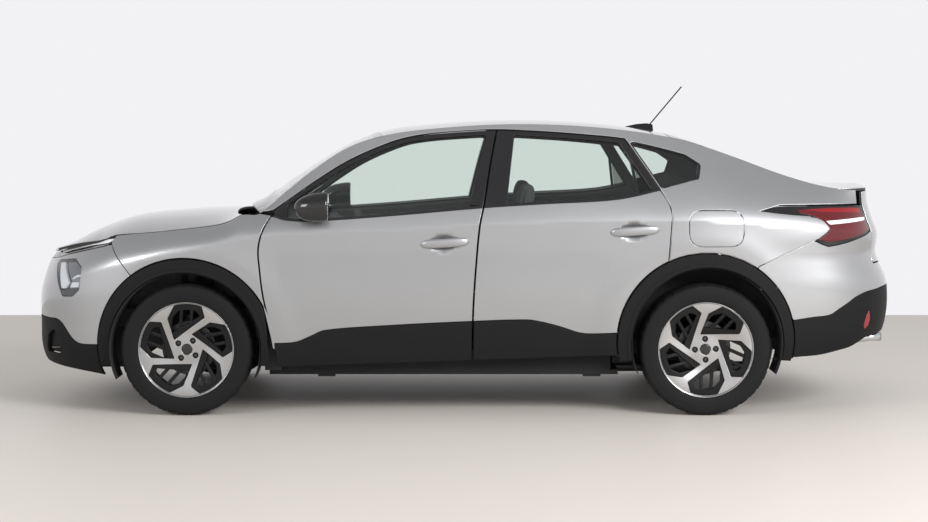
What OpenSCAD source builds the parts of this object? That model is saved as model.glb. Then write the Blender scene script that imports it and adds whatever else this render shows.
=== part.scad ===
// Fastback crossover car: nose towards -X, left side towards -Y, road at z = 0. Millimetres.
// Body lines are drawn on a reference car and carried to the chosen sizes by px, py and pz.

/* [Body] */
// Nose to the front axle
front_overhang = 873; // [850:1:900]
// Distance between the axles
wheelbase = 2670; // [2600:10:2740]
// Rear axle to the tail
rear_overhang = 1057; // [1020:1:1100]
// Width over the wheel arch claddings
width = 1834; // [1780:2:1890]
// Height of the roof above the road
height = 1525; // [1485:5:1565]
// Gap round every panel that moves
panel_gap = 6; // [6:0.5:9]
// Seam between panels that are fixed to each other
seam = 0.6; // [0.4:0.1:1]
// Wall of fenders, bumpers and quarter panels
panel_t = 16; // [12:1:20]
// Roof together with its headlining
roof_t = 30; // [20:1:40]
// Window glass
glass_t = 5; // [4:0.5:7]

/* [Doors and lids] */
// Depth of a door from skin to inner trim
door_t = 66; // [55:1:72]
// Depth of the frame round a door window
frame_t = 32; // [24:1:38]
// Depth of the door skin ahead of its hinge face
flange_t = 12; // [8:1:14]
// Bevel of a door's trailing inner edge
door_bevel = 16; // [12:1:22]
// Radius of the hinge pins
pin_r = 6; // [5:0.5:7]
// Running clearance at pins and spindles
pin_fit = 0.05; // [0.03:0.01:0.1]

/* [Wheels] */
// Distance between the middles of two wheels on one axle
track = 1556; // [1530:2:1570]
// Radius of a tyre
tyre_r = 340; // [330:1:348]
// Width of a tyre
tyre_w = 198; // [185:1:205]
// Radius of the rim's outer lip
rim_r = 245; // [235:1:252]
// Radius of the circle of wheel bolts
bolt_circle_r = 54; // [50:1:60]
// Radius of a wheel bolt hole
bolt_r = 7; // [6:0.5:8]
// Radius of a wheel spindle
spindle_r = 28; // [24:1:32]
// Radius of the wheel opening in the body
arch_r = 391; // [385:1:395]
// Width of the cladding round a wheel opening
arch_band = 62; // [55:1:66]
// Space left round the outside of that cladding
clad_gap = 6; // [5:0.5:8]

/* [Hidden] */
$fn = 48;

SILVER = "#b9bdc0";
BLACK = "#26282a";
GLASS = "#4f5f5c";
METAL = "#7d8286";
SEAT = "#45474b";
RUBBER = "#1d1e20";
RED = "#8f1d20";

// Reference car
ref_front = -1427;
ref_rear = 1243;
ref_axle = 340;
ref_half = 917;

length = front_overhang + wheelbase + rear_overhang;
axle_front = front_overhang - length / 2;
axle_rear = axle_front + wheelbase;
// Reach ahead of, behind and above an axle that keeps its size with the tyre
zone = 470;

function px(s) = lookup(s, [[-3300, -length / 2 - 1000], [-2300, -length / 2],
    [ref_front - zone, axle_front - zone], [ref_front + zone, axle_front + zone],
    [ref_rear - zone, axle_rear - zone], [ref_rear + zone, axle_rear + zone],
    [2300, length / 2], [3300, length / 2 + 1000]]);
function py(y) = y * width / 2 / ref_half;
function pz(z) = lookup(z, [[-300, tyre_r - 640], [ref_axle, tyre_r], [ref_axle + zone, tyre_r + zone],
    [1525, height], [2000, height + 475]]);
function place(p) = [px(p.x), py(p.y), pz(p.z)];

// Smooth line through [at, value] pairs
function mix(a, b, t) = a + (b - a) * t;
function seg(k, v, i = 1) = i >= len(k) - 1 || v < k[i][0] ? i - 1 : seg(k, v, i + 1);
function grad(k, i) = let(a = max(i - 1, 0), b = min(i + 1, len(k) - 1))
    (k[b][1] - k[a][1]) / (k[b][0] - k[a][0]);
function curve(k, v) = let(i = seg(k, v), h = k[i + 1][0] - k[i][0],
        t = min(max((v - k[i][0]) / h, 0), 1))
    k[i][1] * (1 + 2 * t) * (1 - t) ^ 2 + h * grad(k, i) * t * (1 - t) ^ 2
    + k[i + 1][1] * t ^ 2 * (3 - 2 * t) + h * grad(k, i + 1) * t ^ 2 * (t - 1);

// Body side: upper edge, half width there, start of the shoulder, roundness of the shoulder
EDGE_Z = [[-2200, 822], [-2115, 843], [-1815, 920], [-1570, 946], [-1290, 978], [-1210, 998], [-1140, 1034],
    [-1050, 1040], [-925, 1143], [-790, 1252], [-607, 1372], [-422, 1436], [-200, 1470], [240, 1497],
    [700, 1480], [1118, 1421], [1352, 1348], [1691, 1225], [1933, 1164], [2170, 1150]];
EDGE_Y = [[-2200, 470], [-2115, 560], [-1815, 738], [-1570, 790], [-1290, 800], [-1050, 795], [-790, 742],
    [-422, 676], [0, 645], [600, 628], [1060, 618], [1352, 620], [1691, 645], [2170, 665]];
SHOULDER_Z = [[-2200, 640], [-1815, 760], [-1400, 850], [-1000, 930], [-400, 955], [100, 985], [800, 1005],
    [1250, 1000], [1700, 965], [2200, 940]];
ROUND = [[-2200, 1.8], [-1400, 2], [-1100, 1.8], [-900, 1.3], [800, 1.22], [1300, 1.35], [1800, 1.6],
    [2200, 1.7]];
HALF = [[-1900, 900], [-1427, 908], [-900, 898], [0, 896], [900, 900], [1243, 909], [1800, 900]];
TUCK = [[120, 0.9], [220, 0.953], [330, 0.98], [500, 0.994], [680, 1], [1200, 1]];
NOSE = [[150, 2165], [230, 2262], [320, 2296], [450, 2300], [600, 2298], [700, 2272], [800, 2236],
    [870, 2190]];
TAIL = [[200, 2100], [300, 2208], [400, 2274], [500, 2297], [600, 2300], [680, 2290], [760, 2254],
    [820, 2232],
    [920, 2240], [1010, 2206], [1080, 2184], [1160, 2178]];

function end_of(s, z) = s < 0 ? curve(NOSE, z) : curve(TAIL, z);
function taper(s, z) = (1 - min(abs(s) / end_of(s, z), 1) ^ 8) ^ (1 / 3);
function shoulder(s, z) = let(z0 = curve(SHOULDER_Z, s), w0 = curve(HALF, s) * curve(TUCK,
    z0) * taper(s, z0),
        t = min(max((z - z0) / (curve(EDGE_Z, s) - z0), 0), 1.1),
        fall = min(max(1 - curve(EDGE_Y, s) / max(w0, 1), 0), 0.4))
    1 - fall * t ^ curve(ROUND, s);
// Half width of the body at station s and level z
function half(s, z) = curve(HALF, s) * curve(TUCK, z) * taper(s, z) * shoulder(s, z);

// Half width along the upper edge
edge_y = function(x) half(x, curve(EDGE_Z, x));

// Point on the left body side, moved out by d
function side_at(s, z, d = 0) = place([s, -half(s, z) - d, z]);

// Grid of points inside four border lines of the side view: x from xf(z) to xr(z), z from zb(x) to zt(x)
function fit(u, v, xf, xr, zb, zt, z = 760, n = 9) = let(x = mix(xf(z), xr(z), u), y = mix(zb(x), zt(x), v))
    n == 0 ? [x, y] : fit(u, v, xf, xr, zb, zt, mix(z, y, 0.8), n - 1);
function steps(n, a = 0, b = 1) = [for (i = [0:n]) mix(a, b, i / n)];

// Solid between an outer and an inner grid; holes are [first column, last, first row, last]
module shell(outer, inner, holes = []) {
    nu = len(outer);
    nv = len(outer[0]);
    n = nu * nv;
    filled = [for (i = [-1:nu - 1]) [for (j = [-1:nv - 1]) i >= 0 && j >= 0 && i < nu - 1 && j < nv - 1
        && len([for (h = holes) if (i >= h[0] && i < h[1] && j >= h[2] && j < h[3]) 1]) == 0]];
    function quad(a, b, c, d) = [[a, b, c], [a, c, d]];
    faces = [for (i = [0:nu - 2]) for (j = [0:nv - 2]) if (filled[i + 1][j + 1])
        let(a = i * nv + j, b = a + nv, c = b + 1, d = a + 1)
        each concat(quad(a, d, c, b), quad(a + n, b + n, c + n, d + n),
            filled[i + 1][j] ? [] : quad(a, b, b + n, a + n),
            filled[i + 2][j + 1] ? [] : quad(b, c, c + n, b + n),
            filled[i + 1][j + 2] ? [] : quad(c, d, d + n, c + n),
            filled[i][j + 1] ? [] : quad(d, a, a + n, d + n))];
    polyhedron(concat([for (r = outer) each r], [for (r = inner) each r]), faces);
}

module right_side() {
    mirror([0, 1, 0]) children();
}

module both_sides() {
    children();
    mirror([0, 1, 0]) children();
}

// Block between two corners of the reference car
module block(a, b) {
    lo = place(a);
    hi = place(b);
    translate(lo) cube(hi - lo);
}

// Wheel openings: middle of the opening and of the cladding's outer edge
FRONT_ARCH = [ref_front - 5, 348];
FRONT_CLAD = [ref_front - 6, 356];
REAR_ARCH = [ref_rear + 5, 374];
REAR_CLAD = [ref_rear - 3, 384];
clad_r = arch_r + arch_band;
clear_r = clad_r + clad_gap;
function arc_z(c, r, x) = c.y + sqrt(max(r ^ 2 - (x - c.x) ^ 2, 0));

// Door shut lines, read along z
FRONT_SHUT = [[250, -968], [341, -970], [497, -1001], [617, -1027], [754, -1044], [863, -1050], [964,
    -1024], [1036, -984]];
MID_SHUT = [[290, 43], [557, 48], [811, 65], [982, 82], [1100, 106], [1293, 137], [1466, 171]];
REAR_SHUT = [[780, 1044], [896, 1053], [1032, 1062], [1083, 1053], [1159, 1009], [1416, 842]];
// Window lines, read along x
DOOR_TOP = [[-1000, 1040], [-877, 1124], [-741, 1219], [-606, 1302], [-467, 1367], [-329, 1417], [-190,
    1443],
    [0, 1459], [172, 1466], [411, 1456], [670, 1437], [842, 1418], [1016, 1381], [1173, 1339]];
BELT = [[-985, 1026], [-908, 1006], [-780, 1002], [-415, 1026], [105, 1070], [403, 1089], [784, 1112],
    [1005, 1158], [1198, 1206]];
sill_z = 252;
sill_rise = 0.035;
glass_lift = 16;
glass_drop = 24;

g2 = panel_gap / 2;
function front_x(z) = z > 1036 ? -984 : curve(FRONT_SHUT, z);
function mid_x(z) = curve(MID_SHUT, z);
function rear_x(z) = min(z < 1416 ? curve(REAR_SHUT, z) : 842,
    REAR_CLAD.x - sqrt(max((clear_r + panel_gap) ^ 2 - max(z - REAR_CLAD.y, 0) ^ 2, 0)));
function door_low(x) = sill_z + sill_rise * (x + 970);
function door_top(x) = curve(DOOR_TOP, x);
function belt(x) = curve(BELT, x);

// Door hinges: place of the upright axis and heights of the two hinges
front_pin = [-972, 862];
rear_pin = [112, 860];
hinge_z = [480, 830];
lug_h = 26;
ear_h = 16;
ear_gap = 1;
ear_r = pin_r + 7;
lid_ear_r = pin_r + 3;

// Door shell with a window; us places the columns, hinge and window columns are counted in it
function door_point(u, v, xf, xr) = let(
        f = function(x) v <= 1 ? door_low(x) : v <= 2 ? belt(x) + glass_lift : door_top(x) - glass_drop,
        t = function(x) v <= 1 ? belt(x) + glass_lift
            : v <= 2 ? max(door_top(x) - glass_drop, belt(x) + glass_lift + 4) : door_top(x))
    fit(u, v <= 1 ? v : v <= 2 ? v - 1 : v - 2, xf, xr,
        function(x) v <= 2 ? f(x) : max(f(x), belt(x) + glass_lift + 4),
        function(x) v > 2 ? max(t(x), belt(x) + glass_lift + 8) : t(x));
module door_shell(us, hinge_col, win_a, win_b, xf, xr, end_col = 99) {
    rows = [0, 0.13, 0.24, 0.34, 0.43, 0.51, 0.58, 0.64, 0.73, 0.87, 1, 1.35, 1.7, 2, 3];
    outer = [for (u = us) [for (v = rows) let(p = door_point(u, v, xf, xr)) side_at(p.x, p.y)]];
    inner = [for (i = [0:len(us) - 1]) [for (v = rows)
        let(p = door_point(us[i], v, xf, i < len(us) - 1 ? xr : function(z) xr(z) - door_bevel),
            t = i <= hinge_col || i >= end_col ? flange_t : v <= 1 ? door_t : frame_t)
        side_at(p.x, p.y, -t)]];
    shell(outer, inner, [[win_a, win_b, 10, 13]]);
}

module door_lugs(pin, reach) {
    for (i = [0, 1]) translate([px(pin.x), -py(pin.y), pz(hinge_z[i])]) {
        translate([0, -pin_r - 2, -lug_h / 2]) cube([reach[i], 2 * pin_r + 4, lug_h]);
        cylinder(r = pin_r, h = lug_h + 2 * (ear_h + ear_gap), center = true);
        cylinder(r = pin_r + 2, h = lug_h, center = true);
    }
}

FRONT_US = [0, 0.04, 0.085, 0.098, 0.16, 0.25, 0.36, 0.48, 0.6, 0.72, 0.83, 0.935, 0.957, 1];
REAR_US = [0, 0.05, 0.11, 0.125, 0.2, 0.3, 0.41, 0.52, 0.63, 0.74, 0.84, 0.93, 1];
front_door_x0 = function(z) front_x(z) + g2;
front_door_x1 = function(z) mid_x(z) - g2 - 2.2;
rear_door_x0 = function(z) mid_x(z) + g2;
rear_door_x1 = function(z) min(rear_x(z), curve(REAR_SHUT, max(z, 780)) - panel_gap);
function hinge_face(us, col, xf, xr, z) = mix(xf(z), xr(z), us[col + 1]);

// Pull handle on the outside of a door, from a to b in the side view
handle_r = 11;
handle_stand = 14;
module handle(a, b) {
    hull() for (p = [a, b]) translate(side_at(p.x, p.y, handle_stand)) sphere(r = handle_r, $fn = 16);
    for (p = [a, b]) hull() for (d = [-4, handle_stand - 3])
        translate(side_at(p.x, p.y, d)) sphere(r = handle_r - 2, $fn = 12);
}

module front_door() {
    handle([-208, 878], [8, 890]);
    door_shell(FRONT_US, 2, 3, 11, front_door_x0, front_door_x1, 12);
    door_lugs(front_pin, [for (z = hinge_z)
        px(hinge_face(FRONT_US, 2, front_door_x0, front_door_x1, z)) - px(front_pin.x) + 12]);
}

module rear_door() {
    handle([764, 941], [980, 955]);
    door_shell(REAR_US, 2, 4, 11, rear_door_x0, rear_door_x1);
    door_lugs(rear_pin, [for (z = hinge_z)
        px(hinge_face(REAR_US, 2, rear_door_x0, rear_door_x1, z)) - px(rear_pin.x) + 12]);
}

// Pane that fills the window columns of a door
module door_pane(us, a, b, xf, xr) {
    edge = seam / 900;
    cols = [for (i = [a:b]) us[i] + (i == a ? edge : i == b ? -edge : 0)];
    rows = [1.006, 1.35, 1.7, 1.994];
    function at(d) = [for (u = cols) [for (v = rows)
        let(p = door_point(u, v, xf, xr)) side_at(p.x, p.y, d)]];
    shell(at(-4), at(-4 - glass_t));
}

module door_front_left() { color(SILVER) front_door(); }
module door_front_right() { color(SILVER) right_side() front_door(); }
module door_rear_left() { color(SILVER) rear_door(); }
module door_rear_right() { color(SILVER) right_side() rear_door(); }
module glass_front() { door_pane(FRONT_US, 3, 11, front_door_x0, front_door_x1); }
module glass_rear() { door_pane(REAR_US, 4, 11, rear_door_x0, rear_door_x1); }
module glass_front_left() { color(GLASS) glass_front(); }
module glass_front_right() { color(GLASS) right_side() glass_front(); }
module glass_rear_left() { color(GLASS) glass_rear(); }
module glass_rear_right() { color(GLASS) right_side() glass_rear(); }

// Fixed body side: fenders, rails over the doors, quarter panels
NOSE_SHUT = [[728, -1712], [885, -1824], [920, -1803]];
function nose_shut(z) = z < 728 ? FRONT_CLAD.x - sqrt(max(clear_r ^ 2 - max(z - FRONT_CLAD.y, 0) ^ 2, 0))
    : lookup(z, NOSE_SHUT);
cowl_z = 1036;
inner_inset = 9;
fender_ease = 3;
module fender() {
    us = steps(13);
    vs = steps(9);
    function at(t, cut) = [for (u = us) [for (v = vs) let(p = fit(u, v,
            function(z) nose_shut(max(z, 728)) + seam + cut,
            function(z) front_x(z) - g2 - fender_ease - 1.8 * cut,
            function(x) arc_z(FRONT_CLAD, clear_r, x),
            function(x) min(curve(EDGE_Z, x), cowl_z)), q = side_at(p.x, p.y, -t))
        [q.x, q.y, q.z - 1.7 * t * max(v - 0.6, 0) / 0.4]]];
    shell(at(0, 0), at(panel_t, inner_inset));
}
module fenders() { color(SILVER) both_sides() fender(); }

// Seam between quarter panel and rail behind the quarter glass
SPLIT = [[1262, 1212], [1400, 1147], [1560, 1094], [1640, 1083], [1900, 1083], [2160, 1083]];
RAIL_LOW = concat([[842, 1424], [1016, 1388], [1173, 1346], [1228, 1290]], SPLIT);
QUARTER_TOP = concat([[1000, 1168], [1198, 1218]], SPLIT);
function rail_low(x) = (x < -1000 ? cowl_z : x < 842 ? max(door_top(x) + panel_gap + 1, cowl_z)
    : curve(RAIL_LOW, x)) + seam;
lid_x = 1818;
lid_space = 18;
RAIL_X = [-1038, -985, -925, -860, -790, -700, -607, -515, -422, -310, -200, -60, 90, 240, 400, 550,
    700, 842, 930, 1016, 1075, 1118, 1173, 1228, 1262, 1340, 1430, 1530, 1640, 1750, lid_x - lid_space,
    1880, 1960, 2020, 2058];
rail_t = 30;
module roof_rail() {
    function at(d) = [for (x = RAIL_X) [for (v = [0, 0.5, 1]) let(z = mix(rail_low(x), curve(EDGE_Z, x), v),
        p = side_at(x, z, -d)) [p.x, p.y, p.z - d * v]]];
    shell(at(0), at(rail_t));
}
module roof_rails() { color(SILVER) both_sides() roof_rail(); }

// Tail corner angle of the lamp's front edge
lamp_turn = 64.6;
lid_turn = 33.5;
lamp_z = 909;
SPEAR_LOW = [[1040, 1068], [1430, 1064], [1512, 1052], [1643, 1035], [1810, 1022]];
SPEAR_TOP = [[1040, 1072], [1430, 1068], [1512, 1057], [1611, 1075], [1810, 1077]];
function tail_s(turn, z) = curve(TAIL, z) * cos(turn) ^ 0.25;
QUARTER_US = [0, 0.06, 0.115, 0.21, 0.305, 0.4, 0.495, 0.57, 0.645, 0.75, 0.87, 1];
QUARTER_VS = [0, 0.24, 0.48, 0.72, 0.965, 1, 2, 3];
function quarter_point(u, v) = fit(u, v <= 1 ? v : v - floor(v - 0.001),
    function(z) curve(REAR_SHUT, max(z, 780)) + seam,
    function(z) tail_s(lamp_turn, max(z, lamp_z)) - seam,
    function(x) v <= 1 ? max(arc_z(REAR_CLAD, clear_r, x), lookup(x, REAR_BUMPER_SHUT) + seam) :
        v <= 2 ? curve(SPEAR_LOW, x) : curve(SPEAR_TOP, x),
    function(x) v <= 1 ? curve(SPEAR_LOW, x) : v <= 2 ? curve(SPEAR_TOP, x)
        : curve(QUARTER_TOP, x) - 1.15 * clad_gap, 950);
REAR_BUMPER_SHUT = [[1504, 769], [1812, 909]];
module quarter(flap) {
    function at(d) = [for (u = QUARTER_US) [for (v = QUARTER_VS) let(p = quarter_point(u, v))
        side_at(p.x, p.y, d)]];
    shell(at(0), at(-panel_t), concat([[8, 11, 5, 6]], flap ? [[2, 6, 1, 4]] : []));
}
module quarter_panels() {
    color(SILVER) {
        quarter(true);
        flap_ears();
        right_side() quarter(false);
    }
}

// Flap over the fuel filler, hinged at its front edge
flap_t = 6;
module fuel_flap() {
    gu = panel_gap / 745;
    gv = panel_gap / 240;
    us = [QUARTER_US[2] + gu, QUARTER_US[3], QUARTER_US[4], QUARTER_US[5], QUARTER_US[6] - gu];
    vs = [QUARTER_VS[1] + gv, QUARTER_VS[2], QUARTER_VS[3], QUARTER_VS[4] - gv];
    function at(d) = [for (u = us) [for (v = vs) let(p = quarter_point(u, v)) side_at(p.x, p.y, d)]];
    color(SILVER) {
        shell(at(0), at(-flap_t));
        at_flap_pin() {
            linear_extrude(flap_arm, center = true) {
                circle(r = 8);
                polygon(FLAP_ARM);
            }
            cylinder(r = flap_pin_r, h = flap_arm + 2 * (flap_ear + ear_gap), center = true);
        }
    }
}

// Curved arm that swings the flap out round the edge of its opening
FLAP_ARM = [[-6, 0], [6, 0], [6, 70], [20, 84], [60, 80], [86, 50], [90, -31], [100, -31], [98, 54],
    [66, 92], [14, 96], [-6, 76]];
flap_pin = [1085, 965];
flap_pin_in = 32;
flap_pin_r = 4;
flap_arm = 20;
flap_ear = 10;
module at_flap_pin() {
    translate([px(flap_pin.x), -py(half(flap_pin.x, flap_pin.y)) + flap_pin_in, pz(flap_pin.y)]) children();
}
module flap_ears() {
    for (k = [-1, 1]) at_flap_pin() translate([0, 0, k * (flap_arm / 2 + ear_gap + flap_ear / 2)])
        difference() {
            union() {
                cylinder(r = 9, h = flap_ear, center = true);
                translate([-9, -flap_pin_in + panel_t - 4, -flap_ear / 2])
                    cube([18, flap_pin_in - panel_t + 4, flap_ear]);
            }
            cylinder(r = flap_pin_r + pin_fit, h = flap_ear + 2, center = true);
        }
}

module quarter_glass() {
    xs = [868, 905, 945, 990, 1040, 1100, 1160, 1205, 1232];
    function low(x) = max(belt(x) + glass_lift, 1427 - (x - 842) * 1.539 + panel_gap) + 2;
    function at(d) = [for (x = xs) [for (v = [0, 0.5, 1])
        side_at(x, mix(low(x), max(rail_low(x) - 1.25 * clad_gap, low(x) + 6), v), d)]];
    both_sides() shell(at(-3), at(-3 - glass_t));
}

// Cladding round the wheel openings
module arch_band_of(open, outer, limit, thin = false) {
    turns = steps(22, 193, -13);
    function edge(t) = min(clad_r, cos(t) > 0.3 ? (limit(outer.y + clad_r * sin(t)) - outer.x) / cos(t)
        : clad_r);
    function at(r, t, d) = let(c = mix(open, outer, r), q = mix(arch_r, edge(t), r))
        side_at(c.x + q * cos(t), c.y + q * sin(t), d);
    function depth(t) = thin && cos(t) > 0.3 ? 6 : 26;
    shell([for (t = turns) [for (r = [0, 0.5, 1]) at(r, t, 7)]],
        [for (t = turns) [for (r = [0, 0.5, 1]) at(r, t, -depth(t))]]);
}
module arch_bands() {
    both_sides() {
        arch_band_of(FRONT_ARCH, FRONT_CLAD,
            function(z) front_x(z) - panel_gap - lookup(z, [[440, 17], [540, 4]]), true);
        arch_band_of(REAR_ARCH, REAR_CLAD, function(z) 3000);
    }
}

// Nose and tail: plan turn angle and level to a point, moved out by d
function end_at(way, turn, z, d = 0, lean = 1) = let(a = way < 0 ? curve(NOSE, z) : curve(TAIL, z),
        s = way * a * cos(turn) ^ 0.25, w = half(s, z), b = curve(HALF, s),
        nx = lean * way * 8 / a * (abs(s) / a) ^ 7, ny = 3 / b * (w / b) ^ 2,
        n = sqrt(nx ^ 2 + ny ^ 2), y = sign(turn) * w)
    place([s + d * nx / n, y + sign(turn) * d * ny / n, z]);
function end_turn(way, x, z) = acos(min(abs(x) / end_of(way, z), 1) ^ 4);
mid_turn = 53;
function turn_of(way, c, z, x) = abs(c) <= 1 ? c * mid_turn
    : sign(c) * mix(mid_turn, end_turn(way, x, z), abs(c) - 1);
function both_ways(c) = concat([for (i = [len(c) - 1:-1:1]) -c[i]], c);
// Fascia: columns c, rows v between zb and zt at the turn, ending at shut(z)
function fascia_point(way, c, v, zb, zt, shut, z = 600, n = 6) = let(t = turn_of(way, c, z, shut(z)),
        s = way * 2296 * cos(t) ^ 0.25, y = mix(zb(s), zt(s), v))
    n == 0 ? [t, y] : fascia_point(way, c, v, zb, zt, shut, y, n - 1);
module fascia(way, cs, vs, zb, zt, shut, t, holes = [], d = 0) {
    function at(e) = [for (c = cs) [for (v = vs) let(p = fascia_point(way, way * c, v, zb, zt, shut))
        end_at(way, p.x, p.y, e, abs(c) == 2 ? 0 : 1)]];
    shell(at(d), at(d - t), holes);
}

LIGHT_LOW = [[-2300, 782], [-2200, 786], [-2135, 795], [-1852, 878], [-1824, 886]];
FRONT_BLACK = [[-2300, 500], [-2110, 496], [-2067, 461], [-2015, 392], [-1977, 372], [-1880, 365]];
FRONT_LOW = [[-2300, 222], [-2150, 204], [-1900, 192]];
lamp_a = 0.8;
lamp_b = 0.985;
NOSE_C = both_ways([0, 0.28, 0.5, 0.68, lamp_a, 0.9, lamp_b, 1.2, 1.45, 1.7, 2]);
NOSE_V = [0, 0.2, 0.37, 0.6, 0.8, 0.95, 1];
module front_bumper() {
    color(SILVER) fascia(-1, NOSE_C, NOSE_V, function(s) curve(FRONT_BLACK, s),
        function(s) curve(LIGHT_LOW, s),
        function(z) nose_shut(z) - seam, panel_t, [[4, 6, 2, 5], [14, 16, 2, 5]]);
}
module front_bumper_lower() {
    fascia(-1, NOSE_C, steps(3),
        function(s) curve(FRONT_LOW, s), function(s) curve(FRONT_BLACK, s) - 0.9,
        function(z) nose_shut(z) - seam, panel_t);
}
module headlamp() {
    cs = [lamp_a + 0.0025, 0.9, lamp_b - 0.0025];
    fascia(-1, cs, [NOSE_V[2] + 0.003, NOSE_V[3], NOSE_V[4], NOSE_V[5] - 0.003],
        function(s) curve(FRONT_BLACK, s),
        function(s) curve(LIGHT_LOW, s), function(z) nose_shut(z) - seam, 30, [], -3);
}
module light_strip() {
    fascia(-1, NOSE_C, [0, 0.5, 1],
        function(s) curve(LIGHT_LOW, s) + 0.9, function(s) curve(EDGE_Z, s) - 1.6 * panel_gap,
        function(z) nose_shut(max(z, 860)) - 5 * seam, panel_t, [], -4.5);
}
module headlamps() {
    color(GLASS) {
        both_sides() headlamp();
        light_strip();
    }
}

REAR_BLACK = [[1640, 503], [1795, 511], [1894, 516], [1999, 580], [2083, 622], [2240, 648], [2300, 652]];
REAR_LOW = [[1629, 272], [1778, 287], [2025, 313], [2170, 345], [2253, 372], [2300, 384]];
rear_shut = function(z) z < 769 ? REAR_CLAD.x + sqrt(max(clear_r ^ 2 - max(z - REAR_CLAD.y, 0) ^ 2, 0))
    : lookup(z, [[769, 1505], [909, 1813]]) + seam;
lid_c = lid_turn / mid_turn;
lid_low = 772;
TAIL_C = both_ways([0, 0.2, 0.38, lid_c, 0.75, 0.9, 1.1, 1.35, 1.65, 2]);
module rear_bumper() {
    notch = 0.47;
    color(SILVER) fascia(1, TAIL_C, [0, 0.25, notch, 0.75, 1], function(s) curve(REAR_BLACK, s),
        function(s) lamp_z - seam, rear_shut, panel_t, [[6, 12, 2, 4]]);
}
module rear_bumper_lower() {
    fascia(1, TAIL_C, steps(3), function(s) curve(REAR_LOW, s), function(s) curve(REAR_BLACK, s) - seam,
        rear_shut, panel_t);
}
module cladding() {
    color(BLACK) {
        front_bumper_lower();
        arch_bands();
        rear_bumper_lower();
    }
}
module tail_lamp() {
    turns = [76, 73.5, 70.5, 67.5, 64.3, 63.4, 60, 55, 50, 45, 40, 36.5, 34];
    function low(t) = let(s = tail_s(t, 1050)) t > 64 ? curve(SPEAR_LOW, s) + clad_gap : lamp_z;
    function top(t) = let(s = tail_s(t, 1050)) t > 64 ? curve(SPEAR_TOP, s) - clad_gap : 1083 - clad_gap;
    function at(d) = [for (t = turns) [for (v = [0, 0.5, 1])
        end_at(1, -t, mix(low(t), top(t), v), d, t > 55 ? 0 : 1)]];
    shell(at(-2), at(-26));
}
module tail_lamps() { color(RED) both_sides() tail_lamp(); }

// Panels seen from above: grid between front line xa(y), rear line xb(y) and half width hw(x)
HOOD_CROWN = [[-2200, 12], [-2115, 25], [-1990, 58], [-1815, 78], [-1570, 82], [-1290, 62], [-1140, 16]];
ROOF_CROWN = [[-1190, 30], [-1110, 55], [-1050, 90], [-1000, 84], [-800, 52], [-600, 34], [-422, 35],
    [-200, 31], [240, 28], [700, 28], [1060, 26], [1352, 12], [1691, 8], [2170, 12]];
hood_z = function(x, y) curve(EDGE_Z, x)
    + curve(HOOD_CROWN, x) * (1 - (abs(y) / edge_y(max(x, -1900))) ^ 2.4);
roof_z = function(x, y) curve(EDGE_Z, x) + curve(ROOF_CROWN, x) * (1 - (abs(y) / edge_y(x)) ^ 2.2);
function fit_top(u, s, xa, xb, hw, x = -500, n = 8) = let(y = s * hw(x), q = mix(xa(y), xb(y), u))
    n == 0 ? [q, y] : fit_top(u, s, xa, xb, hw, q, n - 1);
module top_panel(us, ss, xa, xb, hw, zf, t) {
    function at(d) = [for (u = us) [for (s = ss)
        let(p = fit_top(u, s, xa, xb, function(x) hw(x) - 1.15 * d))
        place([p.x, p.y, zf(p.x, p.y) - d])]];
    shell(at(0), at(t));
}
hood_t = 18;
hood_pin = [-1165, 993];
HOOD_EASE = [[-1815, 8], [-1690, 0], [-1270, 0], [-1180, 18]];
hood_pin_y = 660;
hood_front = function(y) -2196 + 384 * (abs(y) / 738) ^ 5;
hood_rear = function(y) -1235 + 94 * (y / 790) ^ 2;
module hood() {
    color(SILVER) {
        top_panel(steps(11), [-1, -0.97, -0.88, -0.74, -0.56, -0.3, 0, 0.3, 0.56, 0.74, 0.88, 0.97, 1],
            hood_front, hood_rear,
            function(x) edge_y(max(x, -1815)) - panel_gap - lookup(x, HOOD_EASE), hood_z, hood_t);
        both_sides() translate([px(hood_pin.x), -py(hood_pin_y), pz(hood_pin.y)]) rotate([90, 0, 0]) {
            translate([-9, 0, -lug_h / 2]) cube([18, 36, lug_h]);
            cylinder(r = pin_r + 3, h = lug_h, center = true);
            cylinder(r = pin_r, h = lug_h + 2 * (ear_h + ear_gap), center = true);
        }
    }
}
shield_low = function(y) -1165 + 115 * (y / 795) ^ 2;
header = function(y) -472 + 50 * (y / 675) ^ 2;
function stations(a, b) = [for (x = RAIL_X) if (x >= a && x <= b) (x - a) / (b - a)];
back_x = 1075;
edge_half = function(x) edge_y(x) - seam;
WIDE = [-1, -0.9, -0.72, -0.45, 0, 0.45, 0.72, 0.9, 1];
module windshield() {
    top_panel(concat([0], stations(-1050, -422)), WIDE, shield_low, function(y) header(y) - seam,
        edge_half, roof_z, glass_t);
}
module roof() {
    color(SILVER) top_panel(stations(-422, back_x), WIDE, header, function(y) back_x, edge_half,
        roof_z, roof_t);
}
module rear_window() {
    top_panel(stations(back_x, lid_x - lid_space), WIDE, function(y) back_x + seam,
        function(y) lid_x - lid_space, edge_half, roof_z, glass_t);
}

module fixed_glass() {
    color(GLASS) {
        windshield();
        rear_window();
        quarter_glass();
    }
}

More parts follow.
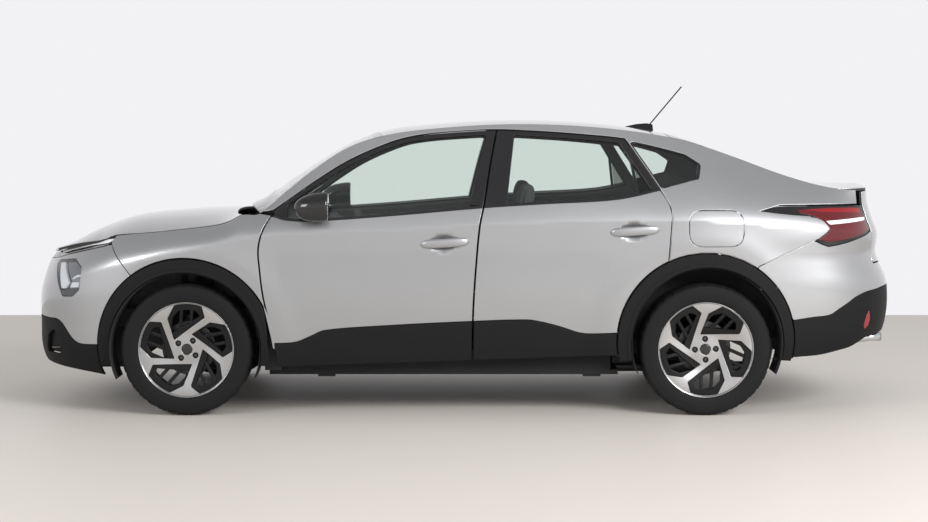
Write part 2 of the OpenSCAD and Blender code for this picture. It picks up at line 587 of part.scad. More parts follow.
// Trunk lid: its top runs back to the lip, its face goes down between the lamps
lid_t = 18;
lid_pin = [1828, 1168];
lid_edge_t = 6;
lid_pin_y = 470;
function tail_x(y, z) = curve(TAIL, z) * (1 - min(abs(y) / 900, 1) ^ 3) ^ 0.125;
lid_y = 588;
LID_Z = [1150, 1110, 1086, 1040, 960, 870, lid_low + panel_gap];
function lid_edge(f, x = 2000, n = 6) =
    let(y = edge_y(x) - 1.4 * panel_gap - lookup(f, [[0, 28], [0.25, 0]]))
    n == 0 ? y : lid_edge(f, mix(lid_x, tail_x(y, 1150) - 6, f), n - 1);
module trunk_lid() {
    ss = [-1, -0.85, -0.6, -0.3, 0, 0.3, 0.6, 0.85, 1];
    top = [0, 0.25, 0.5, 0.75, 0.93];
    function at(d) = concat(
        [for (f = top) [for (s = ss) let(y = s * (lid_edge(f) - 1.15 * d),
            x = mix(lid_x, tail_x(y, 1150) - 6, f), lip = 10 * max(f - 0.5, 0) / 0.43)
            place([x - (f > 0.9 ? d : 0), y, roof_z(x, y) + lip - (f == 0 ? min(d, lid_edge_t) : d)])]],
        [for (z = LID_Z) [for (s = ss) let(y = s * lid_y)
            place([tail_x(y, z) - d, y, z - (z > 1140 ? d * 0.6 : 0)])]]);
    color(SILVER) {
        shell(at(0), at(lid_t));
        both_sides() translate([px(lid_pin.x), -py(lid_pin_y), pz(lid_pin.y)]) rotate([90, 0, 0]) {
            translate([0, -9, -lug_h / 2]) cube([18, 26, lug_h]);
            cylinder(r = pin_r + 3, h = lug_h, center = true);
            cylinder(r = pin_r, h = lug_h + 2 * (ear_h + ear_gap), center = true);
        }
    }
}

// Trough under the rear edge of the hood
module cowl() {
    ys = steps(8, -600, 600);
    function at(d) = [for (f = [0, 0.5, 1]) [for (y = ys)
        let(x = mix(hood_rear(y) - 20, shield_low(y) + 4, f))
        place([x, y, mix(960, 985, f) - d])]];
    shell(at(0), at(24));
    block([-1175, -590, 925], [-1014, 590, 966]);
}

// Shapes drawn as a side view and carried across between two widths
module plate(points, y0, y1) {
    translate([0, py(y1), 0]) rotate([90, 0, 0]) linear_extrude(py(y1) - py(y0))
        polygon([for (p = points) [px(p.x), pz(p.y)]]);
}

// Underbody: floor, sills, raised trunk floor and jacking pads
floor_z = 225;
floor_t = 24;
boot_z = 430;
pad_h = 12;
// Half width of the boot floor between the rear wheel housings
boot_y = (track / 2 - 116.3) * 2 * ref_half / width;
module floor() {
    color(BLACK) {
        block([-1010, -760, floor_z - floor_t], [800, 760, floor_z]);
        both_sides() block([-940, -762, floor_z - 2], [760, -690, 330]);
        block([776, -600, floor_z - floor_t], [800, 600, boot_z]);
        block([776, -560, boot_z - floor_t], [2150, 560, boot_z]);
        block([800, -boot_y, boot_z - floor_t], [1640, boot_y, boot_z]);
        both_sides() for (x = [-760, 620])
            block([x, -750, floor_z - floor_t - pad_h], [x + 90, -706, floor_z - 4]);
    }
}

// Hinge posts ahead of the front doors, and the posts between the doors
post_in = 96;
post_drop = 1.3;
module hinge_ears(pin, to_y) {
    reach = py(pin.y) - py(to_y);
    for (z = hinge_z) for (k = [-1, 1])
        translate([px(pin.x), -py(pin.y), pz(z) + k * (lug_h / 2 + ear_gap) - (k < 0 ? ear_h : 0)])
        difference() {
            union() {
                cylinder(r = ear_r, h = ear_h);
                translate([-ear_r, 0, 0]) cube([2 * ear_r, reach + 6, ear_h]);
            }
            translate([0, 0, -1]) cylinder(r = pin_r + pin_fit, h = ear_h + 2);
        }
}
module hinge_post() {
    block([-1032, -780, floor_z], [-944, -700, 985]);
    hinge_ears(front_pin, 780);
}
module mid_post() {
    block([62, -790, 330], [170, -692, 940]);
    hinge_ears(rear_pin, 790);
    zs = [900, 1110, 1240, 1400, 1455];
    function set_in(z) = mix(post_in, 64, min(max(z - 1110, 0) / 130, 1));
    function top(x, y) = place([x, -y, roof_z(x, y) - roof_t - post_drop]);
    function at(d) = [for (f = [0, 1]) [for (z = zs) let(x = mid_x(z) + mix(-40, 60, f))
        z < 1455 ? side_at(x, z, -set_in(z) - d) : top(x, half(x, z) - set_in(z) - d)]];
    shell(at(0), at(36));
}
module pillars() {
    color(BLACK) both_sides() {
        hinge_post();
        mid_post();
    }
}

// Front frame: firewall, rails, towers with struts, cross member and lower arms
king_y = track / 2 - 50;
king_h = 150;
king_r = 10;
arm_t = 20;
engine_z = 300;
frame_z = tyre_r - king_h - arm_t - 1;
strut_y = king_y - 114;
module hood_ears() {
    for (k = [-1, 1]) translate([0, -py(hood_pin_y) + k * (lug_h / 2 + ear_gap + ear_h / 2), 0])
        rotate([90, 0, 0])
        translate([0, 0, -ear_h / 2]) linear_extrude(ear_h) difference() {
            union() {
                translate([px(hood_pin.x), pz(hood_pin.y)]) circle(r = lid_ear_r);
                polygon([[px(hood_pin.x), pz(hood_pin.y) - lid_ear_r],
                    [px(hood_pin.x) + 6, pz(hood_pin.y) + 10], [px(-1029), pz(950)], [px(-1029), pz(900)]]);
            }
            translate([px(hood_pin.x), pz(hood_pin.y)]) circle(r = pin_r + pin_fit);
        }
}
module front_frame() {
    yk = king_y;
    color(METAL) {
        block([-1030, -700, floor_z], [-1012.3, 700, 955]);
        cowl();
        both_sides() hood_ears();
        both_sides() {
            block([-2200, -480, 420], [-1029, -410, 520]);
            translate([axle_front, -yk, tyre_r - king_h - arm_t - 1]) difference() {
                union() {
                    cylinder(r = king_r + 12, h = arm_t);
                    translate([-26, 0, 0]) cube([52, yk - 290, arm_t]);
                }
                translate([0, 0, -1]) cylinder(r = king_r + pin_fit, h = arm_t + 2);
            }
            translate([axle_front, -yk, tyre_r + king_h + 1]) difference() {
                union() {
                    cylinder(r = king_r + 12, h = arm_t);
                    translate([-20, 0, 0]) cube([40, yk - strut_y, arm_t]);
                }
                translate([0, 0, -1]) cylinder(r = king_r + pin_fit, h = arm_t + 2);
            }
            translate([axle_front, -strut_y, tyre_r + king_h + 1]) cylinder(r = 24, h = 330);
            translate([axle_front, -strut_y, tyre_r + king_h + 150]) cylinder(r = 40, h = 170);
            translate([axle_front - 80, -strut_y - 76, pz(800)])
                cube([160, strut_y + 76 - py(405), pz(840) - pz(800)]);
            translate([axle_front - 80, -strut_y - 77.7, pz(755)]) cube([160, 11.7, pz(801) - pz(755)]);
            block([ref_front - 80, -480, 500], [ref_front + 80, -405, 820]);
        }
        translate([axle_front - 120, -300, frame_z]) cube([300, 600, 60]);
        translate([axle_front + 110, -py(480), frame_z]) cube([60, 2 * py(480), 60]);
        both_sides() {
            translate([axle_front + 110, -py(480), frame_z]) cube([60, py(60), pz(430) - frame_z]);
            translate([axle_front - 60, -300, frame_z]) cube([80, 60, pz(engine_z) - frame_z]);
        }
        block([-2240, -400, 430], [-2190, 400, 520]);
        both_sides() block([-2200, -480, 430], [-2150, -380, 520]);
    }
}

module engine() {
    color(METAL) block([-1820, -395, engine_z], [-1240, 395, 880]);
}

// Twist beam, trailing arms and wheel spindles of the rear axle
axle_arm_y = track / 2 - 218;
module rear_axle() {
    color(METAL) {
        translate([axle_rear - 190, 0, tyre_r - 10]) rotate([90, 0, 0])
            cylinder(r = 38, h = 2 * axle_arm_y - 20, center = true);
        both_sides() {
            translate([axle_rear - 400, -axle_arm_y - 30, tyre_r - 50]) cube([450, 50, 90]);
            translate([axle_rear - 400, -axle_arm_y - 30, tyre_r])
                cube([80, 60, pz(boot_z - floor_t) - tyre_r]);
            translate([axle_rear, -axle_arm_y, tyre_r]) rotate([90, 0, 0]) {
                cylinder(r = 60, h = track / 2 - 60 - axle_arm_y);
                cylinder(r = spindle_r, h = track / 2 + 46 - axle_arm_y);
            }
        }
    }
}

// Steered carrier: spindle, upright and the two pins it turns on
module knuckle() {
    translate([axle_front, 0, tyre_r]) {
        translate([0, -king_y + 30, 0]) rotate([90, 0, 0])
            cylinder(r = spindle_r, h = track / 2 + 46 - king_y + 30);
        translate([0, -king_y + 24, 0]) rotate([90, 0, 0]) cylinder(r = 62, h = 28);
        translate([-24, -king_y - 4, -king_h + 2]) cube([48, 30, 2 * king_h - 4]);
        translate([0, -king_y, 0]) cylinder(r = king_r, h = 2 * (king_h + arm_t), center = true);
    }
}
module knuckle_left() { color(METAL) knuckle(); }
module knuckle_right() { color(METAL) right_side() knuckle(); }

// Wheel drawn about its own axis, outer face towards +z
rim_w = tyre_w - 14;
barrel_t = 9;
seat_r = rim_r - 14;
face_z = 62;
spokes = 5;
// Corners of the opening between two spokes: radius, angle
POCKET = [[80, 44], [184, -36], [seat_r - 23, -30], [seat_r - 14, -20], [seat_r - 14, 9], [200, 20]];
pocket_turn = 66;
bolt_turn = 2;
front_turn = -37;
module pocket() {
    polygon([for (p = POCKET) p.x * [cos(p.y), sin(p.y)]]);
}
module rim() {
    h = rim_w / 2;
    rotate_extrude() polygon([[seat_r - barrel_t, -h], [rim_r, -h], [rim_r, -h + 7],
        [seat_r, -h + 12], [seat_r, h - 12], [rim_r, h - 7], [rim_r, h], [seat_r - barrel_t, h]]);
    difference() {
        union() {
            translate([0, 0, face_z - 26]) linear_extrude(26) difference() {
                circle(r = seat_r - barrel_t + 1);
                for (i = [0:spokes - 1]) rotate(pocket_turn + i * 360 / spokes) pocket();
            }
            translate([0, 0, -40]) cylinder(r = 76, h = face_z + 38);
            translate([0, 0, -38]) cylinder(r = 142, h = 22);
        }
        translate([0, 0, -41]) cylinder(r = spindle_r + pin_fit, h = 91);
        for (i = [0:3]) rotate(bolt_turn + i * 90) translate([bolt_circle_r, 0, 8])
            cylinder(r = bolt_r, h = face_z);
    }
}
shoulder_r = tyre_r - 8;
module tyre() {
    h = tyre_w / 2;
    b = rim_w / 2 - 13;
    g = 7;
    side = [[seat_r + 0.3, -b], [rim_r - 2, -b - 1], [rim_r + 20, -h + 2], [rim_r + 48, -h],
        [shoulder_r - 20, -h + 6], [shoulder_r, -h + 17], [tyre_r, -h + 34]];
    tread = [[tyre_r, -44], [tyre_r - g, -43], [tyre_r - g, -35], [tyre_r, -34], [tyre_r, -6],
        [tyre_r - g, -5]];
    lower = concat(side, tread);
    upper = [for (i = [len(lower) - 1:-1:0]) [lower[i].x, -lower[i].y]];
    rotate_extrude($fn = 96) polygon(concat(lower, upper));
}
module at_wheel(x) {
    translate([x, -track / 2, tyre_r]) rotate([90, 0, 0]) children();
}
module tyre_front_left() { color(RUBBER) at_wheel(axle_front) tyre(); }
module tyre_front_right() { color(RUBBER) right_side() at_wheel(axle_front) tyre(); }
module tyre_rear_left() { color(RUBBER) at_wheel(axle_rear) tyre(); }
module tyre_rear_right() { color(RUBBER) right_side() at_wheel(axle_rear) tyre(); }
module rim_front_left() { color(METAL) at_wheel(axle_front) rotate(front_turn) rim(); }
module rim_front_right() { color(METAL) right_side() at_wheel(axle_front) rotate(front_turn) rim(); }
module rim_rear_left() { color(METAL) at_wheel(axle_rear) rim(); }
module rim_rear_right() { color(METAL) right_side() at_wheel(axle_rear) rim(); }

// Liners inside the wheel openings
liner_t = 5;
module liner(c, depth) {
    r = arch_r - 2;
    translate([px(c.x), -py(862), pz(c.y)]) rotate([90, 0, 0])
        translate([0, 0, -depth]) linear_extrude(depth) difference() {
            circle(r = r);
            circle(r = r - liner_t);
            translate([-500, -500]) square([1000, 500]);
        }
}
module wheel_liners() {
    color(BLACK) both_sides() {
        liner(FRONT_ARCH, 170);
        liner(REAR_ARCH, 200);
    }
}

// Cabin
module dashboard() {
    color(BLACK) {
        plate([[-1012, 560], [-700, 560], [-640, 700], [-650, 900], [-760, 985], [-1012, 975]], -700, 700);
        translate([px(-640) + 140, -py(370), pz(870)]) rotate([0, 65, 0]) {
            rotate_extrude() translate([180, 0]) circle(r = 15);
            cylinder(r = 60, h = 26, center = true);
            for (a = [90, 210, 330]) rotate(a) translate([0, -18, -8]) cube([176, 36, 16]);
            translate([0, 0, -190]) cylinder(r = 30, h = 190);
        }
    }
}
CUSHION = [[-430, 350], [-440, 430], [-380, 465], [40, 455], [110, 400], [100, 350]];
BACK = [[40, 390], [125, 385], [205, 460], [360, 980], [330, 1030], [265, 1035], [215, 960], [150, 700]];
HEAD = [[280, 1050], [350, 1045], [385, 1110], [372, 1175], [310, 1185], [285, 1130]];
module front_seats() {
    color(SEAT) both_sides() {
        plate(CUSHION, -620, -130);
        plate(BACK, -610, -140);
        plate(HEAD, -500, -250);
        plate([[300, 1020], [315, 1020], [330, 1060], [315, 1060]], -440, -310);
        plate([[-350, floor_z], [40, floor_z], [40, 352], [-350, 352]], -560, -190);
    }
}
bench_y = min(640, (track / 2 - tyre_w / 2 - 39) * 2 * ref_half / width);
module rear_bench() {
    color(SEAT) {
        plate([[560, boot_z - 110], [548, 470], [600, 500], [980, 470], [1040, 430], [775, 430],
            [775, 320]], -bench_y, bench_y);
        plate([[970, 430], [1090, 430], [1330, 990], [1310, 1050], [1240, 1060], [1190, 1000]],
            20 - bench_y, bench_y - 20);
    }
}

pipe_r = 28;
module exhaust() {
    pipe_z = pz(floor_z - floor_t) - pipe_r;
    color(METAL) {
        translate([px(1950), py(-420), pz(345)]) rotate([0, 90, 0])
            cylinder(r = 26, h = px(2262) - px(1950));
        block([1640, -520, 300], [1960, -120, 400]);
        block([1780, -330, 399], [1830, -300, boot_z - floor_t]);
        translate([px(-900), -py(200), pipe_z]) rotate([0, 90, 0])
            cylinder(r = pipe_r, h = px(1700) - px(-900));
        translate([px(1680), -py(200), pipe_z]) cylinder(r = pipe_r, h = pz(320) - pipe_z);
    }
}

// Shelf behind the rear seat, with the hinges of the trunk lid
shelf_z = 1080;
module parcel_shelf() {
    color(BLACK) {
        block([1240, -610, 1060], [1800, 610, shelf_z]);
        both_sides() for (k = [-1, 1])
            translate([0, -py(lid_pin_y) + k * (lug_h / 2 + ear_gap + ear_h / 2), 0])
            rotate([90, 0, 0]) translate([0, 0, -ear_h / 2]) linear_extrude(ear_h) difference() {
                union() {
                    translate([px(lid_pin.x), pz(lid_pin.y)]) circle(r = lid_ear_r);
                    polygon([[px(lid_pin.x) - lid_ear_r, pz(lid_pin.y)], [px(1770), pz(shelf_z) - 2],
                        [px(1798), pz(shelf_z) - 2], [px(lid_pin.x) + lid_ear_r, pz(lid_pin.y)]]);
                }
                translate([px(lid_pin.x), pz(lid_pin.y)]) circle(r = pin_r + pin_fit);
            }
    }
}

function roof_line(x) = lookup(x, [for (s = [842, 930, 1016, back_x]) [s, roof_z(s, 0)]]) + 0.7;
module antenna() {
    color(BLACK) {
        plate([[890, roof_line(890)], [930, roof_line(930)], [1016, roof_line(1016)],
            [1050, roof_line(1050)], [1046, 1500], [1010, 1506], [960, 1502]], -14, 14);
        translate([px(1030), 0, pz(1498)]) rotate([0, 40, 0]) cylinder(r = 3.5, h = 275);
    }
}

// Door mirrors
module mirror_body() {
    xs = [-872, -835, -798];
    zs = [1022, 1040, 1058];
    shell([for (x = xs) [for (z = zs) place([x + 20, -905, z + 8])]],
        [for (x = xs) [for (z = zs) side_at(x, z, -3.2)]]);
    hull() {
        for (p = [[-805, -915, 1082, 0.9], [-790, -985, 1088, 1]]) translate(place([p[0], p[1], p[2]]))
            scale([0.9 * p[3], 0.5, 0.9 * p[3]]) sphere(r = 68, $fn = 24);
        translate(place([-722, -950, 1084])) scale([0.3, 0.95, 1]) sphere(r = 62, $fn = 24);
    }
}
module mirror_left() { color(BLACK) mirror_body(); }
module mirror_right() { color(BLACK) right_side() mirror_body(); }

floor();
pillars();
front_frame();
rear_axle();
engine();
wheel_liners();
front_bumper();
headlamps();
fenders();
cladding();
fixed_glass();
roof();
roof_rails();
quarter_panels();
tail_lamps();
rear_bumper();
exhaust();
antenna();
dashboard();
front_seats();
rear_bench();
parcel_shelf();
hood();
trunk_lid();
fuel_flap();
door_front_left();
door_front_right();
door_rear_left();
door_rear_right();
glass_front_left();
glass_front_right();
glass_rear_left();
glass_rear_right();
mirror_left();
mirror_right();
knuckle_left();
knuckle_right();
tyre_front_left();
tyre_front_right();
tyre_rear_left();
tyre_rear_right();
rim_front_left();
rim_front_right();
rim_rear_left();
rim_rear_right();
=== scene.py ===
import math

import bpy
import numpy as np
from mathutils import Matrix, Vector
from mathutils.geometry import delaunay_2d_cdt


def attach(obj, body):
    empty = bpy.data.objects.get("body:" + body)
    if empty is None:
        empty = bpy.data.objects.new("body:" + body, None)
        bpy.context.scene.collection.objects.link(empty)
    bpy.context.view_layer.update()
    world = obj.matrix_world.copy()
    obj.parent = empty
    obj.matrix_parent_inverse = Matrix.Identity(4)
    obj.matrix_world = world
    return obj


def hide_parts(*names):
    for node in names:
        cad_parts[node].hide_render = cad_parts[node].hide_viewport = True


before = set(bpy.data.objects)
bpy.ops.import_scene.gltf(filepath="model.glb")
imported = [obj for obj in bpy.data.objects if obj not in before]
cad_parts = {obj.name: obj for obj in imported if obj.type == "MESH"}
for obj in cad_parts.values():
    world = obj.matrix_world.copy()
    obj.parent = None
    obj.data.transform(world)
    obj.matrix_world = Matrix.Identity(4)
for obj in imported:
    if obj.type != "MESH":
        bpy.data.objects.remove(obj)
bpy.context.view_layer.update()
scene = bpy.context.scene
MM = 0.001
LEFT = (0, -1, 0)
UP = (0, 0, 1)
HANDS = (("left", 1), ("right", -1))


# Points and lines, in millimetres
def cols(*columns):
    """Points from their coordinates, each an array or one number."""
    return np.stack(np.broadcast_arrays(*columns), 1)


def chain(*runs):
    """One run of points from several."""
    return np.concatenate(runs)


def smooth(table):
    """Smooth line through pairs, as a function of an array."""
    at, value = np.array(table, float).T
    low = np.maximum(np.arange(len(at)) - 1, 0)
    high = np.minimum(np.arange(len(at)) + 1, len(at) - 1)
    slope = (value[high] - value[low]) / (at[high] - at[low])

    def line(v):
        v = np.clip(np.asarray(v, float), at[0], at[-1])
        i = np.clip(np.searchsorted(at, v, side="right") - 1, 0, len(at) - 2)
        h = at[i + 1] - at[i]
        t = (v - at[i]) / h
        return (value[i] * (1 + 2 * t) * (1 - t) ** 2 + h * slope[i] * t * (1 - t) ** 2
                + value[i + 1] * t ** 2 * (3 - 2 * t) + h * slope[i + 1] * t ** 2 * (t - 1))
    return line


def offset(line, by):
    """The same line moved by a constant."""
    return lambda v: line(v) + by


def arc(centre, radius, start, end, count=40):
    """Points of an arc, angles in degrees."""
    a = np.radians(np.linspace(start, end, count))
    return cols(centre[0] + radius * np.cos(a), centre[1] + radius * np.sin(a))


def ring(radius, count, centre=(0, 0)):
    """Points of a closed circle."""
    a = np.linspace(0, 2 * math.pi, count, endpoint=False)
    return cols(centre[0] + radius * np.cos(a), centre[1] + radius * np.sin(a))


def along(x0, x1, line, count=60, off=0):
    """Points of z = line(x) + off in the side view."""
    x = np.linspace(x0, x1, count)
    return cols(x, line(x) + off)


def upward(z0, z1, line, count=40, off=0):
    """Points of x = line(z) + off in the side view."""
    z = np.linspace(z0, z1, count)
    return cols(line(z) + off, z)


def box(x0, y0, x1, y1):
    """Corners of a rectangle."""
    return [(x0, y0), (x1, y0), (x1, y1), (x0, y1)]


def mirrored(run, flip=(1, -1)):
    """Closed outline from its half on one side of the middle line."""
    return chain(run, (np.asarray(run) * flip)[::-1])


# Lines of the body, each read along the first number of its pairs
edge_z = smooth([
    (-2200, 822), (-2115, 843), (-1815, 920), (-1570, 946), (-1290, 978), (-1210, 998), (-1140, 1034),
    (-1050, 1040), (-925, 1143), (-790, 1252), (-607, 1372), (-422, 1436), (-200, 1470), (240, 1497),
    (700, 1480), (1118, 1421), (1352, 1348), (1691, 1225), (1933, 1164), (2170, 1150)])
edge_y_line = smooth([
    (-2200, 470), (-2115, 560), (-1815, 738), (-1570, 790), (-1290, 800), (-1050, 795), (-790, 742),
    (-422, 676), (0, 645), (600, 628), (1060, 618), (1352, 620), (1691, 645), (2170, 665)])
shoulder_z = smooth([
    (-2200, 640), (-1815, 760), (-1400, 850), (-1000, 930), (-400, 955), (100, 985), (800, 1005),
    (1250, 1000), (1700, 965), (2200, 940)])
roundness = smooth([
    (-2200, 1.8), (-1400, 2), (-1100, 1.8), (-900, 1.3), (800, 1.22), (1300, 1.35), (1800, 1.6),
    (2200, 1.7)])
half_line = smooth([
    (-1900, 900), (-1427, 908), (-900, 898), (0, 896), (900, 900), (1243, 909), (1800, 900)])
tuck = smooth([(120, 0.9), (220, 0.953), (330, 0.98), (500, 0.994), (680, 1), (1200, 1)])
nose_line = smooth([
    (150, 2165), (230, 2262), (320, 2296), (450, 2299), (600, 2298), (700, 2272), (800, 2236),
    (870, 2190)])
tail_line = smooth([
    (200, 2100), (300, 2208), (400, 2274), (500, 2297), (600, 2300), (680, 2290), (760, 2254),
    (820, 2232), (920, 2240), (1010, 2206), (1080, 2184), (1160, 2178)])
hood_crown = smooth([
    (-2200, 12), (-2115, 25), (-1990, 58), (-1815, 78), (-1570, 82), (-1290, 62), (-1140, 16)])
roof_crown = smooth([
    (-1190, 30), (-1110, 55), (-1050, 90), (-1000, 84), (-800, 52), (-600, 34), (-422, 35), (-200, 31),
    (240, 28), (700, 28), (1060, 26), (1352, 12), (1691, 8), (2170, 12)])
front_shut = smooth([
    (250, -968), (341, -970), (497, -1001), (617, -1027), (754, -1044), (863, -1050), (964, -1024),
    (1036, -984)])
mid_shut = smooth([(290, 43), (557, 48), (811, 65), (982, 82), (1100, 106), (1293, 137), (1466, 171)])
rear_shut = smooth([(780, 1044), (896, 1053), (1032, 1062), (1083, 1053), (1159, 1009), (1416, 842)])
nose_shut = smooth([(700, -1692), (728, -1712), (885, -1824), (920, -1803)])
door_top = smooth([
    (-1000, 1040), (-877, 1124), (-741, 1219), (-606, 1302), (-467, 1367), (-329, 1417), (-190, 1443),
    (0, 1459), (172, 1466), (411, 1456), (670, 1437), (842, 1418), (1016, 1381), (1173, 1339)])
belt = smooth([
    (-985, 1026), (-908, 1006), (-780, 1002), (-415, 1026), (105, 1070), (403, 1089), (784, 1112),
    (1005, 1158), (1198, 1206)])
spear_low = smooth([(1512, 1050), (1643, 1030), (1760, 1023), (1815, 1017)])
door_clad = smooth([
    (-983, 376), (-863, 383), (-782, 415), (-717, 443), (-415, 467), (42, 490), (319, 498), (387, 489),
    (488, 464), (591, 431), (643, 426), (778, 430)])


def taper(x, z):
    reach = np.where(np.asarray(x) < 0, nose_line(z), tail_line(z))
    return (1 - np.minimum(np.abs(x) / reach, 1) ** 8) ** (1 / 3)


def half(x, z):
    """Half width of the body at station x and level z."""
    z0 = shoulder_z(x)
    w0 = half_line(x) * tuck(z0) * taper(x, z0)
    t = np.clip((z - z0) / (edge_z(x) - z0), 0, 1.1)
    fall = np.clip(1 - edge_y_line(x) / np.maximum(w0, 1), 0, 0.4)
    return half_line(x) * tuck(z) * taper(x, z) * (1 - fall * t ** roundness(x))


def edge_y(x):
    return half(x, edge_z(x))


def side(x, z):
    """Left body side over the side view."""
    return cols(x, -half(x, z), z)


def hood_top(x, y):
    return cols(x, y, edge_z(x) + hood_crown(x) * (1 - (np.abs(y) / edge_y(np.maximum(x, -1900))) ** 2.4))


def roof_z(x, y):
    return edge_z(x) + roof_crown(x) * (1 - (np.abs(y) / edge_y(x)) ** 2.2)


def roof_top(x, y):
    return cols(x, y, roof_z(x, y))


class End:
    """Nose (way -1) or tail (way 1) laid out flat: w runs round the plan from the middle, left negative."""

    def __init__(self, way, reach):
        self.way = way
        self.reach = reach
        self.out = (way, 0, 0.05)
        self.turn = np.linspace(0, math.pi / 2, 1200)[:-1]
        x, y = self.plan(self.turn, 600)
        self.arc = np.append(0, np.cumsum(np.hypot(np.diff(x), np.diff(y))))

    def plan(self, turn, z):
        x = self.way * self.reach(z) * np.cos(turn) ** 0.25
        return x, half(x, z)

    def lift(self, w, z):
        x, y = self.plan(np.interp(np.abs(w), self.arc, self.turn), z)
        return cols(x, np.sign(w) * y, z)

    def at_x(self, x, z):
        """Place on the left of a point known in the side view."""
        turn = np.arccos(np.minimum(np.abs(x) / self.reach(z), 1) ** 4)
        return -np.interp(turn, self.turn, self.arc)

    def at_y(self, y, z):
        """Place on the left of a point known in the end view."""
        _, widths = self.plan(self.turn, z)
        return -np.interp(y, widths, self.arc)

    def from_side(self, points):
        return np.array([(self.at_x(x, z), z) for x, z in points])


nose = End(-1, nose_line)
tail = End(1, tail_line)


# Closed outlines
def unit(vectors):
    """Vectors scaled to length 1."""
    return vectors / np.maximum(np.linalg.norm(vectors, axis=1), 1e-9)[:, None]


def dense(points, step):
    """Closed outline with points added so that none are further apart than step."""
    points = np.asarray(points, float)
    out = []
    for a, b in zip(points, np.roll(points, -1, 0)):
        gap = np.hypot(*(b - a))
        if gap > 1e-6:
            n = max(1, math.ceil(gap / step))
            out.extend(a + (b - a) * k / n for k in range(n))
    return np.array(out)


def area(points):
    x, y = np.asarray(points).T
    return 0.5 * np.sum(x * np.roll(y, -1) - np.roll(x, -1) * y)


def inset(points, amount):
    """Counter-clockwise outline moved inward by amount."""
    t = unit(np.roll(points, -1, 0) - np.roll(points, 1, 0))
    return points + amount * cols(-t[:, 1], t[:, 0])


def inside(points, loop):
    """Whether points lie inside a closed outline."""
    x, y = points[:, 0][:, None], points[:, 1][:, None]
    ax, ay = loop.T
    bx, by = np.roll(loop, -1, 0).T
    crosses = (ay > y) != (by > y)
    with np.errstate(divide="ignore", invalid="ignore"):
        hit = crosses & (x < (bx - ax) * (y - ay) / (by - ay) + ax)
    return hit.sum(1) % 2 == 1


def within(points, loops):
    """Whether points lie inside the first outline and outside the others."""
    keep = inside(points, loops[0])
    for hole in loops[1:]:
        keep &= ~inside(points, hole)
    return keep


def curve(a, p, b, count):
    """Points from a to b, drawn toward p."""
    return [(1 - t) ** 2 * a + 2 * t * (1 - t) * p + t ** 2 * b for t in np.linspace(0, 1, count)]


def corner(a, p, b, radius, share, count):
    """Rounded corner at p, over no more than a share of the way to each neighbour."""
    far_a, far_b = np.hypot(*(a - p)), np.hypot(*(b - p))
    r = min(radius, share * far_a, share * far_b)
    return curve(p + (a - p) / far_a * r, p, p + (b - p) / far_b * r, count)


def rounded(points, radius, count=6):
    """Closed outline with its corners rounded; points on one spot count once."""
    points = np.asarray(points, float)
    points = points[np.hypot(*(points - np.roll(points, 1, 0)).T) > 0.01]
    out = []
    for a, p, b in zip(np.roll(points, 1, 0), points, np.roll(points, -1, 0)):
        out.extend(corner(a, p, b, radius, 0.45, count))
    return np.array(out)


def bend_round(points, count=6):
    """Open line with its corners rounded."""
    points = np.asarray(points, float)
    out = [points[0]]
    for a, p, b in zip(points, points[1:], points[2:]):
        out.extend(corner(a, p, b, 4.0, 0.4, count))
    return np.array([*out, points[-1]])


# Meshes
def normals_of(lift, points, out):
    """Normals of a lifted layout, on the side that out points to."""
    x, y = points.T
    h = 1.5
    a = lift(x + h, y) - lift(x - h, y)
    b = lift(x, y + h) - lift(x, y - h)
    n = unit(np.cross(a, b))
    return n * np.where(n @ np.asarray(out, float) < 0, -1, 1)[:, None]


def mesh_object(name, verts, faces, look, body, normals=None, mirror=False, outer=None, stands_for=None):
    """Piece of one look; where outer is given, only that many first faces have it and the rest, the edge
    walls and backs, take painted shade.
    """
    verts = np.array(verts, float)
    if mirror:
        verts[:, 1] *= -1
        faces = [f[::-1] for f in faces]
        if normals is not None:
            normals = normals * np.array([1, -1, 1])
    mesh = bpy.data.meshes.new(name)
    mesh.from_pydata((verts * MM).tolist(), [], faces)
    mesh.polygons.foreach_set("use_smooth", [True] * len(mesh.polygons))
    mesh.update()
    if normals is not None:
        mesh.normals_split_custom_set_from_vertices(normals.tolist())
    mesh.materials.append(look)
    if outer is not None:
        mesh.materials.append(LINING_AND_SHUT_SHADE)
        mesh.polygons.foreach_set("material_index", [int(i >= outer) for i in range(len(faces))])
    obj = bpy.data.objects.new(name, mesh)
    scene.collection.objects.link(obj)
    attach(obj, body)
    if stands_for:
        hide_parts(stands_for)
    return obj


def far(word):
    """Name of the same body or node on the right side."""
    return word and word.replace("left", "right")


